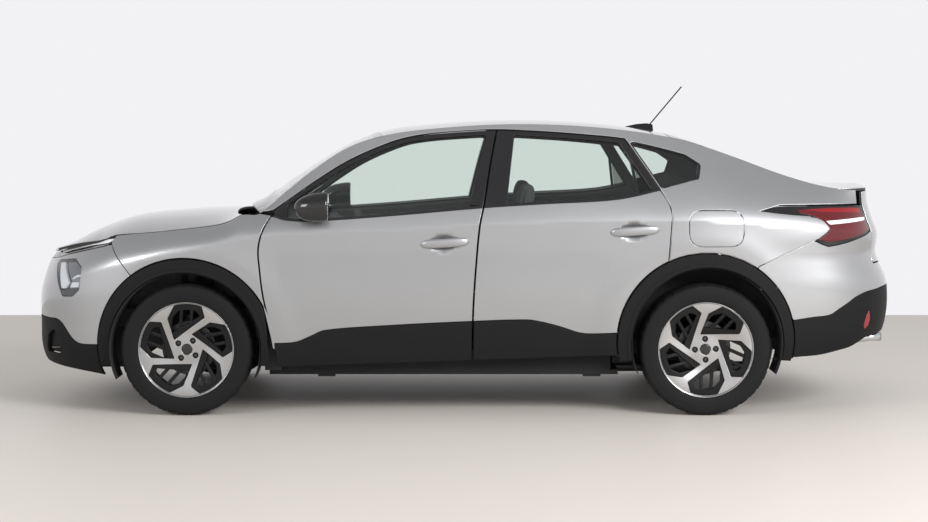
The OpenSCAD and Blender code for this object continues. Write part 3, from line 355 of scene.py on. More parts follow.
def skin_mesh(outline, lift, out, holes=(), depth=14, raised=0.0, grain=18, edge=2.6):
    """Panel with rounded borders over a flat layout: vertices, faces, normals and count of outer faces."""
    loops = []
    for k, loop in enumerate([outline, *holes]):
        loop = dense(loop, grain)
        if (area(loop) > 0) != (k == 0):
            loop = loop[::-1]
        loops.append(loop)
    tops = [inset(loop, edge) for loop in loops]
    rim = np.concatenate(tops)
    low, high = loops[0].min(0), loops[0].max(0)
    gx, gy = np.meshgrid(np.arange(low[0], high[0], grain), np.arange(low[1], high[1], grain))
    grid = cols(gx.ravel(), gy.ravel())
    grid[:, 0] += np.where(np.round((grid[:, 1] - low[1]) / grain) % 2 == 1, grain / 2, 0)
    grid = grid[within(grid, tops)]
    near = np.array([np.min(np.sum((rim - g) ** 2, 1)) for g in grid])
    flat = chain(rim, grid[near > (0.5 * grain) ** 2])
    edges, start = [], 0
    for loop in tops:
        n = len(loop)
        edges += [(start + i, start + (i + 1) % n) for i in range(n)]
        start += n
    vs, _, tris, origin, _, _ = delaunay_2d_cdt([Vector(p) for p in flat], edges, [], 0, 1e-5)
    flat = np.array([tuple(v) for v in vs])
    keep = within(np.array([flat[list(t)].mean(0) for t in tris]), tops)
    tris = [tuple(t) for t, k in zip(tris, keep) if k]
    place = {}
    for i, sources in enumerate(origin):
        for j in sources:
            place[j] = i
    n_top = normals_of(lift, flat, out)
    p_top = lift(*flat.T) + raised * n_top
    verts, normals, faces, hidden = [p_top, p_top - depth * n_top], [n_top, -n_top], [], []
    a, b, c = (p_top[[t[k] for t in tris]] for k in range(3))
    flip = np.sum(np.cross(b - a, c - a) * n_top[[t[0] for t in tris]]) < 0
    count = len(flat)
    for t in tris:
        t = t[::-1] if flip else t
        faces.append(t)
        hidden.append(tuple(i + count for i in t[::-1]))
    base, start = 2 * count, 0
    for loop, top in zip(loops, tops):
        n = len(loop)
        mid = inset(loop, 0.3 * edge)
        n_rim = normals_of(lift, loop, out)
        at = lift(*loop.T) + raised * n_rim
        at_mid = lift(*mid.T) + raised * n_rim
        away = unit(at - (lift(*top.T) + raised * n_rim))
        verts += [at_mid - 0.3 * edge * n_rim, at - edge * n_rim, at - depth * n_rim]
        normals += [0.7 * n_rim + 0.7 * away, away, away]
        rings = [[place[start + i] for i in range(n)]]
        rings += [[base + k * n + i for i in range(n)] for k in range(3)]
        rings.append([place[start + i] + count for i in range(n)])
        for band, (a, b) in enumerate(zip(rings, rings[1:])):
            for i in range(n):
                j = (i + 1) % n
                quad = (a[i], b[i], b[j], a[j])
                (faces if band < 2 else hidden).append(quad[::-1] if flip else quad)
        base += 3 * n
        start += n
    return np.concatenate(verts), faces + hidden, np.concatenate(normals), len(faces)


def skin(name, outline, lift, out, look, body, both=False, stands_for=None, **shape):
    """Panel on one side, or the same on both sides of the car."""
    verts, faces, normals, outer = skin_mesh(outline, lift, out, **shape)
    # Painted panels get painted shade on their edge walls and backs, dark in the shut lines.
    outer = outer if look is PAINT else None
    mesh_object(name, verts, faces, look, body, normals, False, outer, stands_for)
    if both:
        mesh_object(name + "_far", verts, faces, look, far(body), normals, True, outer, far(stands_for))


def side_skin(name, outline, look, body="body", lift=side, **shape):
    """Panel on the left side, and the same on the right."""
    skin(name, outline, lift, LEFT, look, body, both=True, **shape)


def end_skin(name, outline, end, look, **shape):
    """Panel of the nose or tail."""
    skin(name, outline, end.lift, end.out, look, "body", **shape)


def pair(name, verts, faces, look, body, normals=None, stands_for=None):
    """The same piece on the left and mirrored on the right."""
    return [mesh_object(name + "_left", verts, faces, look, body, normals, stands_for=stands_for),
            mesh_object(name + "_right", verts, faces, look, far(body), normals, mirror=True,
                        stands_for=far(stands_for))]


def quads(rows, columns, turned=False):
    """Faces of a grid kept row by row; each row is a closed loop or, if turned, each column is."""
    faces = []
    for i in range(rows if turned else rows - 1):
        for k in range(columns - 1 if turned else columns):
            j, m = (i + 1) % rows, (k + 1) % columns
            faces.append((i * columns + k, i * columns + m, j * columns + m, j * columns + k))
    return faces


def lofted(rows, columns):
    """Faces of a closed body from rows that are closed loops."""
    last = (rows - 1) * columns
    return quads(rows, columns) + [tuple(range(columns))[::-1], tuple(range(last, last + columns))]


def tube_mesh(path, sizes, sides=20):
    """Closed tube along a path; sizes are the half axes across (width, height) at each point."""
    path = np.asarray(path, float)
    verts = []
    for p, t, (a, b) in zip(path, unit(np.gradient(path, axis=0)), sizes):
        across = np.cross(t, (0, 0, 1.0))
        across /= np.linalg.norm(across)
        rise = np.cross(across, t)
        for k in range(sides):
            c, s = math.cos(2 * math.pi * k / sides), math.sin(2 * math.pi * k / sides)
            verts.append(p + a * c * across + b * s * rise)
    return verts, lofted(len(path), sides)


def revolve(profile, count):
    """Vertices (u, o, v) and faces of a profile of (radius, outward) pairs turned about the wheel axis."""
    radius, out = np.asarray(profile, float).T
    a = np.linspace(0, 2 * math.pi, count, endpoint=False)
    verts = np.stack([np.outer(np.cos(a), radius), np.tile(out, (count, 1)), np.outer(np.sin(a), radius)], 2)
    return verts.reshape(-1, 3), quads(count, len(radius), turned=True)


# Looks
def add(tree, kind, values=()):
    """New shader node with the values of its sockets."""
    made = tree.nodes.new("ShaderNode" + kind)
    for key, value in dict(values).items():
        made.inputs[key].default_value = value
    return made


def wire(tree, *links):
    """Links, each as (node, output, node, input)."""
    for source, output, target, entry in links:
        tree.links.new(source.outputs[output], target.inputs[entry])


def shader(name, colour, rough=0.5, metal=0.0, coat=0.0, bump=None, specular=0.5, uneven=0.12):
    """Material with a soft unevenness of tone and sheen; bump is (scale, strength) of a fine grain."""
    made = bpy.data.materials.new(name)
    made.use_nodes = True
    tree = made.node_tree
    main = tree.nodes["Principled BSDF"]
    main.inputs["Metallic"].default_value = metal
    main.inputs["Coat Weight"].default_value = coat
    main.inputs["Specular IOR Level"].default_value = specular
    place = add(tree, "TexCoord")
    cloud = add(tree, "TexNoise", {"Scale": 7, "Detail": 4})
    tone = add(tree, "Mix")
    tone.data_type = "RGBA"
    tone.inputs["A"].default_value = (*(c * (1 - uneven) for c in colour), 1)
    tone.inputs["B"].default_value = (*(min(c * (1 + uneven), 1) for c in colour), 1)
    sheen = add(tree, "MapRange", {"To Min": rough * (1 - uneven), "To Max": min(rough * (1 + uneven), 1)})
    wire(tree, (place, "Object", cloud, "Vector"), (cloud, "Fac", tone, "Factor"),
         (cloud, "Fac", sheen, "Value"), (tone, "Result", main, "Base Color"),
         (sheen, "Result", main, "Roughness"))
    if bump:
        grain = add(tree, "TexNoise", {"Scale": bump[0]})
        relief = add(tree, "Bump", {"Strength": bump[1], "Distance": 0.001})
        wire(tree, (place, "Object", grain, "Vector"), (grain, "Fac", relief, "Height"),
             (relief, "Normal", main, "Normal"))
    return made


def pane(name, tint):
    """Tinted glass: light passes straight through, and the face reflects by its angle."""
    made = bpy.data.materials.new(name)
    made.use_nodes = True
    tree = made.node_tree
    tree.nodes.clear()
    out = add(tree, "OutputMaterial")
    mix = add(tree, "MixShader")
    clear = add(tree, "BsdfTransparent", {"Color": (*tint, 1)})
    shine = add(tree, "BsdfGlossy", {"Roughness": 0.0, "Color": (1, 1, 1, 1)})
    angle = add(tree, "LayerWeight", {"Blend": 0.5})
    bend = add(tree, "Math", {1: 5})
    bend.operation = "POWER"
    share = add(tree, "Math", {1: 0.96, 2: 0.04})
    share.operation = "MULTIPLY_ADD"
    wire(tree, (angle, "Facing", bend, 0), (bend, "Value", share, 0), (share, "Value", mix, "Fac"),
         (clear, "BSDF", mix, 1), (shine, "BSDF", mix, 2), (mix, "Shader", out, "Surface"))
    return made


PAINT = shader("paint", (0.385, 0.39, 0.4), rough=0.38, metal=0.75, coat=1.0, bump=(2500, 0.04), uneven=0.02)
PLASTIC = shader("black_trim", (0.0065, 0.0065, 0.007), rough=0.62, bump=(900, 0.25), specular=0.2)
GLOSS = shader("gloss_black", (0.007, 0.007, 0.008), rough=0.14, coat=0.5)
GLASS = pane("glass", (0.93, 0.965, 0.945))
DARK_GLASS = pane("dark_glass", (0.5, 0.52, 0.5))
LENS = pane("lamp_clear", (0.93, 0.94, 0.95))
RED = shader("lamp_red", (0.24, 0.004, 0.009), rough=0.2, coat=0.6)
DEEP_RED = shader("lamp_deep_red", (0.1, 0.0025, 0.005), rough=0.2, coat=0.6)
WHITE = shader("lamp_white", (0.85, 0.86, 0.88), rough=0.15, coat=1.0)
LAMP_GREY = shader("lamp_grey", (0.3, 0.3, 0.31), rough=0.22, metal=1.0)
CHROME = shader("lamp_reflector", (0.62, 0.63, 0.65), rough=0.12, metal=1.0)
RUBBER = shader("tyre", (0.008, 0.008, 0.0085), rough=0.72, bump=(500, 0.15), specular=0.22)
ALLOY = shader("alloy", (0.5, 0.5, 0.505), rough=0.3, metal=1.0, bump=(1800, 0.05))
WHEEL_BLACK = shader("wheel_black", (0.006, 0.006, 0.0065), rough=0.3, specular=0.25)
BRAKE = shader("brake_disc", (0.1, 0.1, 0.1), rough=0.42, metal=1.0)
CHASSIS = shader("chassis_metal", (0.03, 0.031, 0.033), rough=0.6, metal=0.3)
# Near-black for the underbody and wheel housings, and painted shade on the closings behind the shut lines.
UNDER_AND_GAP_SHADE = shader("underbody", (0.012, 0.012, 0.013), rough=0.9)
ENGINE = shader("engine", (0.09, 0.09, 0.095), rough=0.5, metal=0.4)
# Dark steel; on the exhaust pipe and silencer its darkness is painted shade under the car.
STEEL = shader("steel", (0.07, 0.07, 0.073), rough=0.45, metal=0.8)
INTERIOR = shader("interior", (0.035, 0.036, 0.038), rough=0.75, bump=(700, 0.2))
CLOTH = shader("seat_cloth", (0.055, 0.056, 0.06), rough=0.95, bump=(1400, 0.6))
# Near-black: the lining inside the hood and lid, and painted shade on the edge walls and backs of painted
# panels, which darkens the shut lines.
LINING_AND_SHUT_SHADE = shader("lining_and_shut_line_shade", (0.03, 0.03, 0.031), rough=0.8)
MIRROR = shader("mirror_face", (0.8, 0.82, 0.83), rough=0.03, metal=1.0, uneven=0.03)
FLOOR = shader("studio_floor", (0.72, 0.68, 0.62), rough=0.5, specular=0.3, uneven=0.015)


def dress(nodes, look):
    """Gives CAD nodes their look."""
    for node in nodes:
        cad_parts[node].data.materials.clear()
        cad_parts[node].data.materials.append(look)


for look, nodes in (
        (PAINT, "front_bumper fenders roof roof_rails quarter_panels rear_bumper hood trunk_lid fuel_flap"),
        (PLASTIC, "cladding antenna mirror_left mirror_right"), (GLOSS, "headlamps"), (GLASS, "fixed_glass"),
        (RED, "tail_lamps"), (STEEL, "exhaust"), (ENGINE, "engine"), (UNDER_AND_GAP_SHADE, "floor wheel_liners"),
        (CHASSIS, "front_frame rear_axle knuckle_left knuckle_right"),
        (INTERIOR, "pillars dashboard parcel_shelf"), (CLOTH, "front_seats rear_bench")):
    dress(nodes.split(), look)
for kind, look in (("door", PAINT), ("glass", GLASS), ("tyre", RUBBER), ("rim", ALLOY)):
    dress([f"{kind}_{end}_{hand}" for end in ("front", "rear") for hand in ("left", "right")], look)

# Body sides, with the centres and radii of the wheel openings and of the black bands round them
FRONT_ARCH, REAR_ARCH = (-1432, 348), (1248, 374)
FRONT_CLAD, REAR_CLAD = (-1433, 356), (1240, 384)
ARCH_R, CLAD_R, CLEAR_R = 391, 453, 460
FLARE_OUT, FLARE_R, FLARE_WIDTH = 6, 505, 75


def side_flared(x, z):
    """Body side with a soft swelling round the wheel openings."""
    flare = 0
    for cx, cz in (FRONT_CLAD, REAR_CLAD):
        flare = flare + FLARE_OUT * np.exp(-((np.hypot(x - cx, z - cz) - FLARE_R) / FLARE_WIDTH) ** 2)
    return side(x, z) - cols(0, flare, 0)


quarter_glass = rounded(chain(
    upward(1172, 1400, rear_shut, 12, 10), along(880, 1150, door_top, 12, -4), [(1228, 1290), (1210, 1214)],
    along(1190, 1030, belt, 8, 6)), 14)
flap_hole = rounded(box(1147, 871, 1429, 1059), 75, 10)
flap = rounded(box(1150, 874, 1426, 1056), 72, 10)
body_side = chain(
    along(-1034, 2054, edge_z, 160), cols(np.linspace(2054, 1625, 12), 1084), [(1560, 1066), (1506, 1051)],
    along(1530, 1812, spear_low, 14), [(1850, 1000), (1878, 968), (1880, 958), (1862, 940), (1818, 909)],
    [(1806, 910), (1660, 844), (1507, 774)], arc(REAR_CLAD, CLEAR_R, 55.6, 114.5),
    upward(805, 1410, rear_shut, 30, 4), along(838, -980, door_top, 120, 6))
for name, mirror, holes in (("body_side_left", False, [quarter_glass, flap_hole]),
                            ("body_side_right", True, [quarter_glass])):
    verts, faces, normals, outer = skin_mesh(body_side, side_flared, LEFT, holes, depth=10, raised=0.8)
    mesh_object(name, verts, faces, PAINT, "body", normals, mirror, outer, "roof_rails")
skin("flap_skin", flap, side_flared, LEFT, PAINT, "fuel_flap", raised=0.8, depth=4)
fender = chain(arc(FRONT_CLAD, CLEAR_R, 126.5, -1), upward(352, 1030, front_shut, 40, -4),
               along(-1050, -1800, edge_z, 50, -2), upward(914, 732, nose_shut, 20, 1.5))
side_skin("fender", fender, PAINT, lift=side_flared, stands_for="fenders")

# Hood, roof and large panes
HOOD_CORNER = 722
BACK_X, LID_X = 1075, 1799
hood_ease = smooth([(-1815, 8), (-1690, 0), (-1270, 0), (-1180, 18)])


def hood_lead(y):
    """Front line of the hood in plan."""
    return -2196 + 384 * (y / 738) ** 5


def hood_side(x):
    return edge_y(np.maximum(x, -1815)) - 7 - hood_ease(x)


ys = np.linspace(0, HOOD_CORNER, 60)
hood_front = cols(hood_lead(ys), ys)
xs = np.linspace(hood_front[-1, 0] + 8, -1168, 50)
ys = np.linspace(hood_side(-1160), 0, 40)
hood_outline = mirrored(chain(hood_front, cols(xs, hood_side(xs)), cols(-1235 + 94 * (ys / 790) ** 2, ys)))
skin("hood_skin", hood_outline, hood_top, UP, PAINT, "hood", stands_for="hood", raised=0.8, grain=22)
hood_middle = hood_outline.mean(0)
hood_inner = rounded(hood_middle + (hood_outline - hood_middle) * 0.86, 60)
skin("hood_inner", hood_inner, hood_top, UP, LINING_AND_SHUT_SHADE, "hood", raised=-13, depth=10, grain=40)


def top_sheet(front, rear, margin):
    """Sheet of roof or glass between two cross lines, to the side edges less margin."""
    xs = np.linspace(front(650) + 12, rear(600) - 4, 60)
    edge = cols(xs, edge_y(xs) - margin)
    y0 = np.linspace(0, edge[0, 1] - 6, 30)
    y1 = np.linspace(edge[-1, 1] - 3, 0, 30)
    return mirrored(chain(cols(front(y0), y0), edge, cols(rear(y1), y1)))


def shield_low(y):
    return -1163 + 115 * (y / 795) ** 2


def header(y):
    return -472 + 50 * (y / 675) ** 2


roof_sheet = top_sheet(offset(header, 1), lambda y: BACK_X - 1, 1.2)
skin("roof_skin", roof_sheet, roof_top, UP, PAINT, "body", stands_for="roof", depth=24, grain=26)
shield = top_sheet(shield_low, offset(header, -1), 2)
rear_sheet = top_sheet(lambda y: BACK_X + 1, lambda y: LID_X, 2)
for name, sheet, margin, foot, look in (("windshield", shield, 42, 130, GLASS),
                                        ("rear_window", rear_sheet, 55, 55, DARK_GLASS)):
    low, high = sheet.min(0), sheet.max(0)
    centre = (low + high) / 2
    reach = sheet - centre
    opening = centre + reach * (1 - margin / np.abs(reach).max(0))
    opening[:, 0] = np.interp(opening[:, 0], (low[0] + margin, centre[0], high[0]),
                              (low[0] + foot, centre[0], high[0]))
    skin(name, sheet, roof_top, UP, look, "body", stands_for="fixed_glass", depth=5, grain=30, edge=1)
    skin(name + "_border", sheet, roof_top, UP, GLOSS, "body", holes=[opening], raised=0.5, depth=0.4,
         grain=26, edge=0.3)
middle = quarter_glass.mean(0)
side_skin("quarter_pane", quarter_glass, GLASS, depth=5, raised=-2, edge=1)
side_skin("quarter_frame", quarter_glass, GLOSS, raised=0.2, depth=4, edge=1,
          holes=[middle + (quarter_glass - middle) * 0.92])

# Doors: painted panel, black lower cladding, black window frame, glass and inner trim
HANDLES = {"front": ((-222, 884), (26, 900)), "rear": ((746, 945), (998, 961))}
HOLLOW_DEPTH, HOLLOW_X, HOLLOW_Z = 17, 80, 50
front_lead = offset(front_shut, 4)
front_trail = offset(mid_shut, -5)
rear_lead = offset(mid_shut, 4)
rear_trail = offset(rear_shut, -4)


def door_low(x):
    return 252 + 0.035 * (x + 970)


def dented(x, z):
    """Body side with the hollows behind the door handles."""
    at = side_flared(x, z)
    for (x0, z0), (x1, z1) in HANDLES.values():
        cx, cz = (x0 + x1) / 2 - 6, (z0 + z1) / 2 - 2
        r = ((x - cx) / HOLLOW_X) ** 2 + ((z - cz) / HOLLOW_Z) ** 2
        at[:, 1] += HOLLOW_DEPTH * np.clip(1 - r, 0, 1) ** 1.2
    return at


front_paint = chain(
    along(front_lead(376), front_trail(488), door_clad, 50, 1), upward(492, belt(90), front_trail),
    along(front_trail(1068), -976, belt), upward(1022, 380, front_lead))
rear_paint = chain(
    along(rear_lead(490), 786, door_clad, 50, 1), arc(REAR_CLAD, CLEAR_R, 173, 115),
    upward(806, belt(1005) - 2, rear_trail, 30), along(rear_trail(1150), rear_lead(1070), belt, 50),
    upward(1066, 494, rear_lead))
front_clad = chain(
    along(front_lead(256), front_trail(290), door_low, 30, 1), upward(292, 488, front_trail, 14),
    along(front_trail(488), front_lead(376), door_clad, 60, -0.5), upward(374, 258, front_lead, 10))
rear_clad = chain(
    along(rear_lead(292), 800, door_low, 30, 1), arc(REAR_CLAD, CLEAR_R, 189, 174, 12),
    along(786, rear_lead(490), door_clad, 50, -0.5), upward(488, 294, rear_lead, 14))
front_frame = chain(
    along(-972, front_trail(1072), belt, 60, 1), upward(1074, 1460, front_trail, 30),
    along(front_trail(1462), -968, door_top, 80))
rear_frame = chain(
    along(rear_lead(1072), rear_trail(1150), belt, 50, 1), upward(1154, 1408, rear_trail, 30),
    along(838, rear_lead(1460), door_top, 50), upward(1458, 1078, rear_lead, 30))
front_pane = rounded(chain(
    along(-905, 85, belt, 40, 14), upward(1086, 1436, lambda z: mid_shut(z) - 78 + 0.09 * (z - 1086), 16),
    along(95, -905, door_top, 60, -22)), 8)
rear_pane = rounded(chain(
    along(218, 960, belt, 40, 14), upward(1164, 1392, rear_shut, 16, -46),
    along(806, 262, door_top, 40, -22)), 8)
front_trim = rounded(chain(
    along(-868, 26, door_low, 20, 6), upward(300, 1080, mid_shut, 20, -22),
    along(80, -880, belt, 30, 6)), 20)
rear_trim = rounded(chain(
    along(178, 774, door_low, 20, 6), arc(REAR_CLAD, CLEAR_R + 15, 186, 118, 24),
    upward(830, 1150, rear_shut, 16, -16), along(980, 200, belt, 20, 6)), 20)
for end, paint, clad, surround, window, trim in (
        ("front", front_paint, front_clad, front_frame, front_pane, front_trim),
        ("rear", rear_paint, rear_clad, rear_frame, rear_pane, rear_trim)):
    door = f"door_{end}_left"
    side_skin(f"door_{end}", paint, PAINT, door, dented, stands_for=door, depth=11, grain=15)
    side_skin(f"cladding_{end}", clad, PLASTIC, door, side_flared, raised=6, edge=5)
    side_skin(f"frame_{end}", surround, GLOSS, door, holes=[window], depth=32)
    side_skin(f"trim_{end}", trim, INTERIOR, door, raised=-11.5, depth=54, grain=40, edge=12)
    side_skin(f"window_{end}", window, GLASS, door, stands_for=f"glass_{end}_left", raised=-6, depth=5,
              edge=1, grain=24)
divider = [(884, 1138), (900, 1140), (862, 1380), (847, 1384)]
side_skin("divider_rear", divider, GLOSS, "door_rear_left", raised=-3, edge=2)
fixed_pane = rounded(chain(
    [(901, 1144)], along(915, 955, belt, 6, 16), upward(1170, 1385, rear_shut, 12, -48), [(862, 1382)]), 4)
side_skin("fixed_pane_rear", fixed_pane, DARK_GLASS, "door_rear_left", raised=-4, depth=1.5, edge=0.5)

# Pillar trim behind the shut lines at window height
POST_HALF = 34
for name, line, low_z, high_z in (
        ("post_trim", mid_shut, 1060, 1462), ("rear_post_trim", rear_shut, 1130, 1410)):
    strip = chain(upward(low_z, high_z, line, 16, POST_HALF), upward(high_z, low_z, line, 16, -POST_HALF))
    side_skin(name, strip, INTERIOR, raised=-38, depth=8, edge=3)

# Door handles, and hinge lugs at their pins
for end, ((x0, z0), (x1, z1)) in HANDLES.items():
    t = np.linspace(0, 1, 25)
    x, z = x0 + (x1 - x0) * t, z0 + (z1 - z0) * t
    stand = 15 * np.sin(math.pi * t) ** 0.35 - 3
    shape = np.clip(1 - np.abs(2 * t - 1) ** 5, 0.06, 1) ** 0.5
    verts, faces = tube_mesh(cols(x, -half(x, z) - stand, z), np.outer(shape, (9, 23)))
    pair(f"handle_{end}", verts, faces, PAINT, f"door_{end}_left")
for end, pin_x, pin_y in (("front", -972, 862), ("rear", 112, 860)):
    for z in (480, 830):
        verts = [(pin_x + x, y - pin_y, z + h) for x in (0, 118) for y in (-8, 8) for h in (-13, 13)]
        faces = [(0, 1, 3, 2), (4, 6, 7, 5), (0, 4, 5, 1), (2, 3, 7, 6), (0, 2, 6, 4), (1, 5, 7, 3)]
        pair(f"hinge_{end}_{z}", verts, faces, CHASSIS, f"door_{end}_left")


# Bands round the wheel openings
def ring_band(inner, outer, r_in, r_out, start, end, limit=None):
    """Band between two arcs of a wheel opening, held in front of x = limit(z)."""
    a = np.radians(np.linspace(start, end, 70))
    reach = np.full_like(a, r_out)
    if limit:
        for k, t in enumerate(a):
            if math.cos(t) > 0.3:
                reach[k] = min(r_out, (limit(outer[1] + r_out * math.sin(t)) - outer[0]) / math.cos(t))
    far_run = cols(outer[0] + reach * np.cos(a), outer[1] + reach * np.sin(a))
    near_run = cols(inner[0] + r_in * np.cos(a), inner[1] + r_in * np.sin(a))
    return chain(far_run, near_run[::-1])


def front_limit(z):
    """Keeps the band clear of the opening front door, most of all at its lower cladding."""
    return front_shut(z) - 6 - np.interp(z, [385, 420, 540], [27, 16, 4])


for name, inner, outer, limit in (("arch_front", FRONT_ARCH, FRONT_CLAD, front_limit),
                                  ("arch_rear", REAR_ARCH, REAR_CLAD, None)):
    band = ring_band(inner, outer, ARCH_R, CLAD_R, 193, -13, limit)
    side_skin(name, band, PLASTIC, stands_for="cladding", raised=9, depth=20, edge=5, grain=16)
    lip = ring_band(inner, inner, ARCH_R + 0.5, ARCH_R + 22, 190, -10, limit)
    side_skin(name + "_lip", lip, PLASTIC, raised=12, depth=8, edge=5, grain=16)

# Nose, laid out flat: distance round the plan from the middle line (left negative), height
LAMP = rounded([
    (-626, 772), (-640, 785), (-796, 801), (-873, 760), (-896, 643), (-861, 607), (-783, 604),
    (-750, 643)], 12)
LAMP_BAR = rounded([(-660, 776), (-714, 781), (-812, 675), (-797, 647), (-760, 645)], 8)
LAMP_BOWL = rounded([(-724, 784), (-797, 793), (-866, 756), (-886, 652), (-812, 646), (-822, 680)], 8)
LAMP_BASE = rounded([(-757, 638), (-806, 634), (-889, 642), (-858, 611), (-786, 608)], 8)
LAMP_SHELF = rounded([(-822, 706), (-850, 722), (-872, 724), (-876, 712), (-848, 706), (-824, 694)], 3)
LAMP_BLOCK = rounded([(-820, 652), (-882, 657), (-877, 684), (-826, 680)], 3)
STRIP_TOP = [(-1020, 914), (-901, 898), (-734, 870), (-587, 835)]
STRIP_MID = [(-962, 883), (-852, 866), (-728, 842), (-606, 816)]
STRIP_LOW = [(-965, 874), (-941, 867), (-844, 845), (-712, 818), (-598, 794)]
BLACK_TOP = [
    (-1008, 362), (-936, 361), (-893, 367), (-855, 390), (-812, 435), (-782, 465), (-739, 484),
    (-664, 484), (-500, 486), (0, 488)]
NOSE_LOW = [(-980, 200), (-908, 212), (-780, 226), (-584, 240), (-300, 244), (0, 245)]
FOG = rounded([
    (-640, 400), (-684, 424), (-720, 420), (-742, 380), (-772, 345), (-762, 310), (-720, 298),
    (-600, 300)], 16)
FOG_SLIT = rounded([(-745, 335), (-735, 326), (-640, 316), (-632, 326)], 4)


def both_ways(*runs):
    """Closed outline from its left runs, which start and end on the middle line."""
    return mirrored(chain(*runs), (-1, 1))


def fair(points, w=0.0, z=0.0):
    """Smooth open line through points ordered along w, moved by (w, z)."""
    points = sorted(points)
    at = np.linspace(points[0][0], points[-1][0], 60)
    return cols(at, smooth(points)(at)) + (w, z)


bumper_shut = nose.from_side([(nose_shut(z) - 1.5, z) for z in np.linspace(734, 876, 12)])
front_clear = nose.from_side(arc(FRONT_CLAD, CLEAR_R, 178.5, 127.5, 24))
low_clear = nose.from_side(arc(FRONT_CLAD, CLEAR_R, 199, 180, 8))
strip_low = STRIP_LOW + [(-300, 784), (0, 780)]
strip_top = fair(STRIP_TOP + [(-300, 806), (0, 802)])
bumper_outline = both_ways(fair(BLACK_TOP, 0, 1.5)[::-1], front_clear, bumper_shut, fair(strip_low, 0, -2))
end_skin("front_bumper_skin", bumper_outline, nose, PAINT, stands_for="front_bumper", grain=16,
         holes=[LAMP, LAMP * (-1, 1)])
lower_outline = both_ways(fair(NOSE_LOW)[::-1], low_clear, fair(BLACK_TOP, 0, -0.5))
end_skin("front_cladding", lower_outline, nose, PLASTIC, stands_for="cladding", grain=16, edge=4,
         holes=[FOG, FOG * (-1, 1)])
strip_outline = both_ways(fair(strip_low, 0, 1)[::-1], [(-968, 881), (-1018, 911)], strip_top)
end_skin("light_strip", strip_outline, nose, GLOSS, stands_for="headlamps", raised=-5, depth=11, grain=16,
         edge=1)


def hood_lip():
    """Turned-down front edge of the hood, from its front line to just above the light strip."""
    rows = []
    for w, z in strip_top[strip_top[:, 0] > -985]:
        low = nose.lift(np.array([w]), np.array([z + 4]))[0]
        y = min(abs(low[1]), HOOD_CORNER)
        high = hood_top(np.array([hood_lead(y)]), np.array([-y]))[0] + (2.5, 0, 0.4)
        bend = np.array([min(low[0], high[0]) - 1, (low[1] + high[1]) / 2, high[2] - 1.5])
        rows.append([*curve(high, bend, low, 9), low + (14, 0, 2)])
    grid = mirrored(np.array(rows), (1, -1, 1))
    n = grid.shape[1]
    faces = [(i * n + j, (i + 1) * n + j, (i + 1) * n + j + 1, i * n + j + 1)
             for i in range(len(grid) - 1) for j in range(n - 1)]
    return grid.reshape(-1, 3), faces


mesh_object("hood_lip", *hood_lip(), PAINT, "hood")
lamp_middle = LAMP.mean(0)
upper_light = chain(fair(STRIP_TOP, 8, -4.5), fair(STRIP_MID, 2, 3)[::-1])
under_light = chain(fair(STRIP_MID, -2, -3.5), fair(STRIP_LOW[1:], 4, 6)[::-1])
for hand, k in HANDS:
    for name, outline, look, raised, depth, edge in (
            ("light_upper", upper_light, WHITE, -2, 4, 1.5),
            ("light_under", under_light, CHROME, -2.5, 4, 1.5),
            ("lamp_back", LAMP, GLOSS, -20, 6, 1), ("lamp_bar", LAMP_BAR, WHITE, -5, 14, 3),
            ("lamp_bowl", LAMP_BOWL, LAMP_GREY, -15, 5, 2), ("lamp_shelf", LAMP_SHELF, WHITE, -9, 7, 2),
            ("lamp_block", LAMP_BLOCK, WHITE, -9, 7, 2), ("lamp_base", LAMP_BASE, GLOSS, -6, 13, 2),
            ("lamp_lens", lamp_middle + (LAMP - lamp_middle) * 0.985, LENS, -1.5, 2.5, 1),
            ("fog_recess", FOG, PLASTIC, -22, 4, 1), ("fog_slit", FOG_SLIT, GLOSS, -14, 10, 2)):
        end_skin(f"{name}_{hand}", outline * (k, 1), nose, look, raised=raised, depth=depth, edge=edge)

# Tail, laid out the same way
TAIL_LAMP_TOP = [
    (-1329, 1051), (-1300, 1064), (-1274, 1071), (-1180, 1075), (-1082, 1077), (-862, 1078), (-720, 1076)]
TAIL_LAMP_LOW = [
    (-690, 925), (-774, 907), (-850, 890), (-916, 878), (-972, 871), (-1014, 884), (-1062, 903)]
TAIL_NOTCH = [
    (-1062, 905), (-1020, 924), (-984, 945), (-968, 960), (-974, 976), (-995, 1004), (-1020, 1015),
    (-1048, 1021), (-1159, 1027), (-1307, 1033)]
RED_LENS = [
    (-1108, 1057), (-1000, 1064), (-901, 1067), (-720, 1066), (-660, 1062), (-640, 950), (-700, 936),
    (-782, 918), (-886, 901), (-975, 893), (-1034, 907), (-980, 938), (-958, 959), (-966, 980),
    (-996, 1014), (-1032, 1028), (-1097, 1042)]
RED_BAND = [
    (-1060, 1058), (-901, 1063), (-720, 1062), (-668, 1058), (-672, 1036), (-800, 1042), (-960, 1046)]
BRIGHT_LINE = [(-961, 1000), (-693, 1013), (-640, 1013), (-652, 998), (-686, 995), (-945, 981)]
REAR_BLACK = [
    (-1212, 493), (-1115, 506), (-1016, 517), (-973, 542), (-912, 576), (-860, 605), (-786, 627),
    (-689, 637), (-601, 645), (-300, 650), (0, 651)]
REAR_LOW = [
    (-1250, 292), (-1101, 300), (-989, 307), (-881, 328), (-820, 341), (-766, 369), (-721, 390),
    (-600, 396), (-300, 398), (0, 398)]
REFLECTOR = [(-758, 530), (-741, 488), (-748, 452), (-771, 432), (-786, 452), (-779, 496)]


def lid_gap(z):
    return tail.at_y(600, z)


